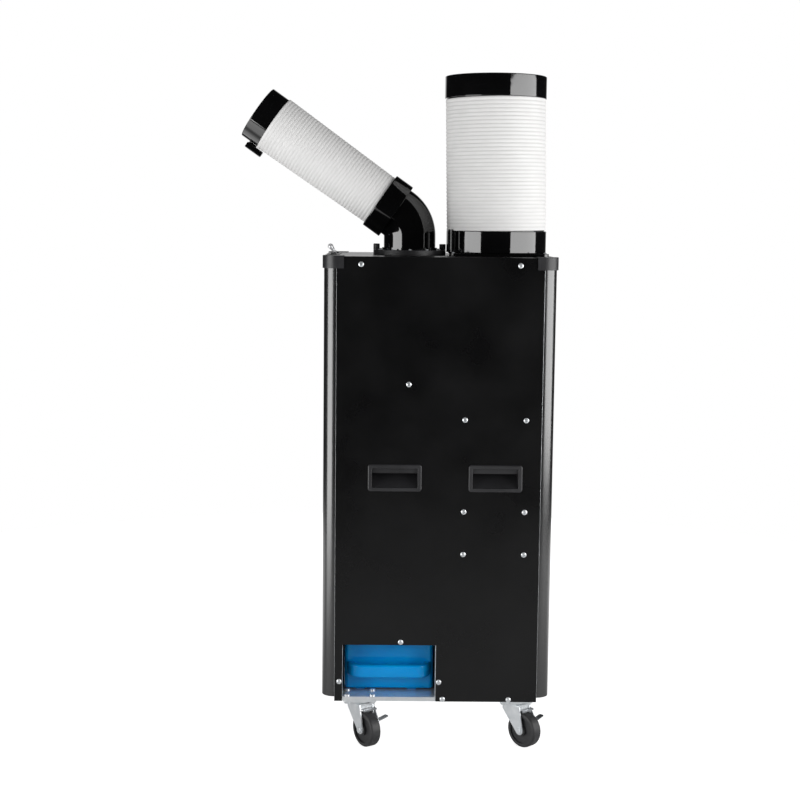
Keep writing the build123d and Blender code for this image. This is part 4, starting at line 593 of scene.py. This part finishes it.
@dataclass(frozen=True)
class PanHead:
    """A small screw head with a dished recess, standing on a level face."""

    radius: float = 0.0034
    height: float = 0.0022
    crown: float = 0.75
    rim: float = 0.0012
    recess: float = 0.0008
    sides: int = 20

    def add(self, mesh: bmesh.types.BMesh, foot: Vector) -> None:
        """Add one head.

        Args:
            mesh: The mesh to add it to.
            foot: Where its under face stands.
        """
        made = bmesh.ops.create_cone(
            mesh,
            cap_ends=True,
            segments=self.sides,
            radius1=self.radius,
            radius2=self.radius * self.crown,
            depth=self.height,
            matrix=Matrix.Translation(foot + Vector((0.0, 0.0, self.height / 2))),
        )
        faces = {face for vert in made["verts"] for face in vert.link_faces}
        top = max(faces, key=lambda face: face.calc_center_median().z)
        bmesh.ops.inset_region(mesh, faces=[top], thickness=self.rim)
        bmesh.ops.translate(mesh, vec=(0.0, 0.0, -self.recess), verts=list(top.verts))


@dataclass
class SidePanels:
    """Zinc strips on the side panels: thin beads along their upright edges, a painted highlight on the
    black rounded edges, and strips in the jambs of the tank's opening, partly metal flanges and partly a
    painted highlight.
    """

    edge_radius: float = 0.0003
    edge_sides: int = 12
    tank_gap: float = 0.0034
    # The right jamb's strip is wider than the left one: a painted highlight where that jamb catches more
    # of the left lamp.
    guide_widths: Span = (0.0008, 0.0014)
    guide_depth: float = 0.012
    guide_set_back: float = 0.0014
    guide_bevel: float = 0.0003

    def edges(self) -> bmesh.types.BMesh:
        """Roll the upright edges of both panels.

        Returns:
            The edges' mesh.
        """
        mesh = bmesh.new()
        for node in ("tank_side_panel", "plain_side_panel"):
            low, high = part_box(node)
            face = low.y + self.edge_radius if low.y < -high.y else high.y - self.edge_radius
            # Thin zinc beads at the panels' upright edges: a painted highlight on their rounded black
            # edges.
            for x in (low.x, high.x):
                bmesh.ops.create_cone(
                    mesh,
                    cap_ends=True,
                    segments=self.edge_sides,
                    radius1=self.edge_radius,
                    radius2=self.edge_radius,
                    depth=high.z - low.z,
                    matrix=Matrix.Translation((x, face, (low.z + high.z) / 2)),
                )
        return mesh

    def guides(self) -> bmesh.types.BMesh:
        """Line both sides of the tank's opening.

        Returns:
            The guides' mesh.
        """
        tank_low, tank_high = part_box("water_tank")
        left, right = tank_low.x - self.tank_gap, tank_high.x + self.tank_gap
        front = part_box("tank_side_panel")[0].y + self.guide_set_back
        panel = node_points("tank_side_panel")
        jamb = [point.z for point in panel if abs(point.x - right) < self.tank_gap / 2]
        mesh = bmesh.new()
        # Strips in the jambs, partly the opening's flanges and partly a painted highlight; the right one
        # is wider where the jamb catches more light.
        spans = ((left, left + self.guide_widths[0]), (right - self.guide_widths[1], right))
        for start, end in spans:
            low = Vector((start, front, min(jamb)))
            high = Vector((end, front + self.guide_depth, max(jamb)))
            rounded_bar(mesh, low, high, self.guide_bevel)
        return mesh

    def build(self, palette: Palette) -> None:
        """Build the zinc strips, which carry painted highlights.

        Args:
            palette: The finishes.
        """
        palette.place(self.edges(), "side_panel_edges", Slot.ZINC, Body.CABINET)
        palette.place(self.guides(), "tank_guides", Slot.ZINC, Body.CABINET)


@dataclass
class IntakeGrille:
    """Level slats and upright ribs in the outer recess of a pull-off filter."""

    body: Body
    border: float = 0.012
    recess: float = 0.0044
    pitch: float = 0.0092
    slat_height: float = 0.0042
    slat_set_back: float = 0.0008
    rib_width: float = 0.004
    rib_set_back: float = 0.0016
    ribs: int = 3
    bevel: float = 0.0006

    def bar(
        self, mesh: bmesh.types.BMesh, middle: Vector, half_y: float, half_z: float, set_back: float
    ) -> None:
        """Lay one bar against the filter's sheet.

        Args:
            mesh: The mesh to add it to.
            middle: The bar's middle on the filter's outer face.
            half_y: Half of its width.
            half_z: Half of its height.
            set_back: How far it stays behind the outer face.
        """
        inward = math.copysign(1.0, -middle.x)
        reach = sorted((middle.x + inward * set_back, middle.x + inward * self.recess))
        low = Vector((reach[0], middle.y - half_y, middle.z - half_z))
        high = Vector((reach[1], middle.y + half_y, middle.z + half_z))
        rounded_bar(mesh, low, high, self.bevel)

    def mesh(self) -> bmesh.types.BMesh:
        """Lay all slats and ribs.

        Returns:
            The grille's mesh.
        """
        low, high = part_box(self.body.value)
        face = low.x if low.x + high.x < 0 else high.x
        half_y = (high.y - low.y) / 2 - self.border
        half_z = (high.z - low.z) / 2 - self.border
        middle = Vector((face, (low.y + high.y) / 2, (low.z + high.z) / 2))
        count = int(2 * half_z / self.pitch)
        mesh = bmesh.new()
        for index in range(count):
            lift = Vector((0.0, 0.0, (index - (count - 1) / 2) * self.pitch))
            self.bar(mesh, middle + lift, half_y, self.slat_height / 2, self.slat_set_back)
        for index in range(self.ribs):
            shift = Vector((0.0, 2 * half_y * ((index + 1) / (self.ribs + 1) - 0.5), 0.0))
            self.bar(mesh, middle + shift, self.rib_width / 2, half_z, self.rib_set_back)
        return mesh

    def build(self, palette: Palette) -> None:
        """Build the grille.

        Args:
            palette: The finishes.
        """
        palette.place(self.mesh(), f"{self.body.value}_grille", Slot.MOULDED, self.body)


@dataclass
class ExhaustStack:
    """The upright exhaust's ribbed hose, and the screws that hold its base plate."""

    ribs: int = 35
    screw: PanHead = PanHead()
    screw_inset: float = 0.008

    def hose(self) -> RibbedHose:
        """Fit the ribbed hose to the CAD one, which leans a little to the front.

        Returns:
            The hose.
        """
        low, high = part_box("exhaust_hose")
        radius = (high.y - low.y) / 2
        foot = Vector((high.x - radius, 0.0, low.z))
        tip = Vector((low.x + radius, 0.0, high.z))
        return RibbedHose("exhaust_hose", Body.CABINET, self.ribs, foot, tip, radius, radius)

    def screws(self) -> bmesh.types.BMesh:
        """Put a screw in each corner of the base plate.

        Returns:
            The screws' mesh.
        """
        low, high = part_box("exhaust_base")
        edge = high.x - self.screw_inset
        top = max(point.z for point in node_points("exhaust_base") if point.x > edge)
        mesh = bmesh.new()
        for x in (low.x + self.screw_inset, edge):
            for y in (low.y + self.screw_inset, high.y - self.screw_inset):
                self.screw.add(mesh, Vector((x, y, top)))
        return mesh

    def build(self, palette: Palette) -> None:
        """Build the exhaust's own pieces.

        Args:
            palette: The finishes.
        """
        self.hose().build(palette)
        palette.place(self.screws(), "exhaust_base_screws", Slot.ZINC, Body.CABINET)


@dataclass
class CoolOutlet:
    """The swivelling outlet's hose, which swells to its nozzle, and the screws in the lip of its ring."""

    ribs: int = 41
    rib_depth: float = 0.0009
    foot_share: float = 0.05
    screw: PanHead = PanHead()
    half_screws: int = 5
    lip_skin: float = 0.0001

    def hose(self) -> RibbedHose:
        """Fit the ribbed hose to the CAD one, along the nozzle's line.

        Returns:
            The hose.
        """
        mounts = {mount["name"]: mount for mount in frame["record"]["mounts"]}
        mouth = Vector(mounts["nozzle_outlet"]["pos_m"])
        along = Vector(mounts["nozzle_outlet"]["axis"]).normalized()
        runs = [point - mouth for point in node_points("cold_hose")]
        places = [run.dot(along) for run in runs]
        start, end = min(places), max(places)
        middle = (start + end) / 2
        radii = [(run - along * place).length for run, place in zip(runs, places)]
        foot_end = start + (middle - start) * self.foot_share
        foot_radius = max(radius for radius, place in zip(radii, places) if place < foot_end)
        tip_radius = max(radii)
        return RibbedHose(
            "cold_hose",
            Body.OUTLET,
            self.ribs,
            mouth + along * start,
            mouth + along * end,
            foot_radius,
            tip_radius,
            self.rib_depth,
        )

    def screws(self) -> bmesh.types.BMesh:
        """Put screws in the ring's lip, in front of and behind the line of the knobs.

        Returns:
            The screws' mesh.
        """
        low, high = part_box("swivel_ring")
        middle = (low + high) / 2
        lip = [point - middle for point in node_points("swivel_ring") if point.z > high.z - self.lip_skin]
        reach = [point.xy.length for point in lip]
        circle = (min(reach) + max(reach)) / 2
        mesh = bmesh.new()
        for half in (0.0, math.pi):
            for index in range(self.half_screws):
                angle = half + math.pi * (index + 1) / (self.half_screws + 1)
                place = Vector((math.cos(angle) * circle, math.sin(angle) * circle, high.z - middle.z))
                self.screw.add(mesh, middle + place)
        return mesh

    def build(self, palette: Palette) -> None:
        """Build the outlet's own pieces.

        Args:
            palette: The finishes.
        """
        self.hose().build(palette)
        palette.place(self.screws(), "swivel_ring_screws", Slot.ZINC, Body.CABINET)


@dataclass(frozen=True)
class Softbox:
    """One large studio lamp that faces the object, flagged off from some of its nodes."""

    name: str
    azimuth: float
    distance: float
    height: float
    width: float
    tall: float
    power: float
    flagged: tuple[str, ...] = ()

    def build(self, target: Vector) -> None:
        """Hang the lamp and aim it.

        Args:
            target: Where it points.
        """
        lamp = bpy.data.lights.new(self.name, "AREA")
        lamp.shape = "RECTANGLE"
        lamp.size = self.width
        lamp.size_y = self.tall
        lamp.energy = self.power
        stand = bpy.data.objects.new(self.name, lamp)
        angle = math.radians(self.azimuth)
        stand.location = target + Vector(
            (math.sin(angle) * self.distance, -math.cos(angle) * self.distance, self.height - target.z)
        )
        stand.rotation_euler = (target - stand.location).to_track_quat("-Z", "Y").to_euler()
        bpy.context.scene.collection.objects.link(stand)
        if self.flagged:
            self.flag(stand)

    def flag(self, stand: bpy.types.Object) -> None:
        """Keep the lamp's light off the flagged nodes.

        Args:
            stand: The lamp.
        """
        shaded = bpy.data.collections.new(f"{self.name}_flag")
        for node in self.flagged:
            shaded.objects.link(frame["nodes"][node])
        for row in shaded.collection_objects:
            row.light_linking.link_state = "EXCLUDE"
        stand.light_linking.receiver_collection = shaded


@dataclass
class Studio:
    """White floor and background, a softbox on each side of the camera, and the camera."""

    floor_radius: float = 2.4
    floor_sides: int = 96
    floor_colour: Colour = (0.66, 0.66, 0.66)
    floor_fade: Span = (0.5, 1.5)
    floor_glow: Span = (0.82, 1.0)
    white_behind: Span = (0.0, 0.5)
    # The front-left zone where the floor glows in reflections only: a painted reflection.
    white_left: Span = (-1.0, -1.25)
    white_near: Span = (-2.2, -1.5)
    white_front: Span = (-0.2, -0.5)
    ambient: float = 0.29
    front_dark: float = 0.01
    backdrop_span: Span = (0.88, 0.985)
    camera_place: Colour = (-0.0231, -3.3497, 1.1223)
    camera_yaw: float = 0.0105
    camera_pitch: float = 0.1188
    camera_roll: float = 0.0106
    camera_focal_pixels: float = 1525.24
    image_pixels: float = 800.0
    sensor: float = 36.0
    aim_height: float = 0.75
    softboxes: tuple[Softbox, ...] = (
        Softbox("left_softbox", -57.0, 2.6, 0.64, 2.1, 1.45, 42.0),
        Softbox("right_softbox", 64.0, 2.6, 0.93, 3.2, 1.46, 64.0, ("elbow", "elbow_cuff")),
    )

    def camera(self) -> None:
        """Stand the camera where the view was taken from."""
        yaw, pitch, roll = self.camera_yaw, self.camera_pitch, self.camera_roll
        ahead = math.cos(pitch)
        forward = Vector((math.sin(yaw) * ahead, math.cos(yaw) * ahead, -math.sin(pitch)))
        level = Vector((math.cos(yaw), -math.sin(yaw), 0.0))
        upright = level.cross(forward)
        right = level * math.cos(roll) + upright * math.sin(roll)
        up = upright * math.cos(roll) - level * math.sin(roll)
        data = bpy.data.cameras.new("camera")
        data.sensor_width = self.sensor
        data.lens = self.camera_focal_pixels / self.image_pixels * self.sensor
        camera = bpy.data.objects.new("camera", data)
        turn = Matrix((right, up, -forward)).transposed().to_4x4()
        camera.matrix_world = Matrix.Translation(self.camera_place) @ turn
        bpy.context.scene.collection.objects.link(camera)
        bpy.context.scene.camera = camera

    def seen_white(self, bench: Bench) -> bpy.types.NodeSocket:
        """How white the floor is seen: straight, through glass, and mirrored behind; at the front left it
        glows in reflections only, a painted reflection on the left post and the nozzle's cuff.

        Args:
            bench: The floor's material.

        Returns:
            1 where the floor is all white, and 0 where it is seen dark.
        """
        path = bench.tree.nodes.new("ShaderNodeLightPath").outputs
        split = bench.tree.nodes.new("ShaderNodeSeparateXYZ")
        bench.tree.links.new(bench.coords, split.inputs["Vector"])
        across, along = split.outputs["X"], split.outputs["Y"]
        behind = bench.ramp(along, self.white_behind, (0.0, 1.0))
        # Painted reflection: at the front left the floor glows for glossy rays only.
        left = bench.ramp(across, self.white_left, (0.0, 1.0))
        near = bench.ramp(along, self.white_near, (0.0, 1.0))
        front = bench.ramp(along, self.white_front, (0.0, 1.0))
        bright = bench.join("MAXIMUM", behind, bench.join("MULTIPLY", left, near, front))
        mirrored = bench.join("MULTIPLY", path["Is Glossy Ray"], bright)
        return bench.join("MAXIMUM", mirrored, path["Is Camera Ray"], path["Is Transmission Ray"])

    def floor(self) -> None:
        """Lay the white floor, which keeps the object's shadow."""
        mesh = bmesh.new()
        bmesh.ops.create_circle(mesh, cap_ends=True, segments=self.floor_sides, radius=self.floor_radius)
        data = bpy.data.meshes.new("floor")
        mesh.to_mesh(data)
        mesh.free()
        floor = bpy.data.objects.new("floor", data)
        bpy.context.scene.collection.objects.link(floor)
        bench = Bench("floor")
        bench.set(Base_Color=self.floor_colour, Emission_Color=(1.0, 1.0, 1.0))
        bench.set(Roughness=1.0, Specular_IOR_Level=0.0)
        reach = bench.tree.nodes.new("ShaderNodeVectorMath")
        reach.operation = "LENGTH"
        bench.tree.links.new(bench.coords, reach.inputs[0])
        fade = bench.ramp(reach.outputs["Value"], self.floor_fade, self.floor_glow)
        bench.drive("Emission Strength", bench.join("MULTIPLY", self.seen_white(bench), fade))
        data.materials.append(bench.material)

    def world(self) -> None:
        """Make the white background, with a dark room behind the camera for reflections."""
        world = bpy.data.worlds.new("studio")
        world.use_nodes = True
        tree = world.node_tree
        background = tree.nodes["Background"]
        path = tree.nodes.new("ShaderNodeLightPath")
        split = tree.nodes.new("ShaderNodeSeparateXYZ")
        coords = tree.nodes.new("ShaderNodeTexCoord")
        tree.links.new(coords.outputs["Generated"], split.inputs["Vector"])
        room = tree.nodes.new("ShaderNodeMapRange")
        room.inputs["From Min"].default_value = self.backdrop_span[0]
        room.inputs["From Max"].default_value = self.backdrop_span[1]
        room.inputs["To Min"].default_value = self.front_dark
        room.inputs["To Max"].default_value = 1.0
        tree.links.new(split.outputs["Y"], room.inputs["Value"])
        levels = (
            ("Is Glossy Ray", room.outputs["Result"]),
            ("Is Transmission Ray", None),
            ("Is Camera Ray", None),
        )
        level = None
        for name, bright in levels:
            mix = tree.nodes.new("ShaderNodeMix")
            mix.inputs["A"].default_value = self.ambient
            mix.inputs["B"].default_value = 1.0
            tree.links.new(path.outputs[name], mix.inputs["Factor"])
            if level is not None:
                tree.links.new(level, mix.inputs["A"])
            if bright is not None:
                tree.links.new(bright, mix.inputs["B"])
            level = mix.outputs["Result"]
        tree.links.new(level, background.inputs["Strength"])
        background.inputs["Color"].default_value = (1.0, 1.0, 1.0, 1.0)
        bpy.context.scene.world = world

    def build(self) -> None:
        """Set up the whole studio."""
        self.camera()
        self.floor()
        self.world()
        for softbox in self.softboxes:
            softbox.build(Vector((0.0, 0.0, self.aim_height)))
        bpy.context.scene.view_settings.view_transform = "Standard"


def main() -> None:
    """Build the pieces in order."""
    logging.basicConfig(level=logging.INFO, format="%(name)s: %(message)s")
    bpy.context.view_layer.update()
    palette = Palette(FINISHES)
    palette.dress_frame()
    SidePanels().build(palette)
    IntakeGrille(Body.FRONT_FILTER).build(palette)
    IntakeGrille(Body.REAR_FILTER).build(palette)
    ExhaustStack().build(palette)
    CoolOutlet().build(palette)
    Studio().build()


if __name__ == "__main__":
    main()
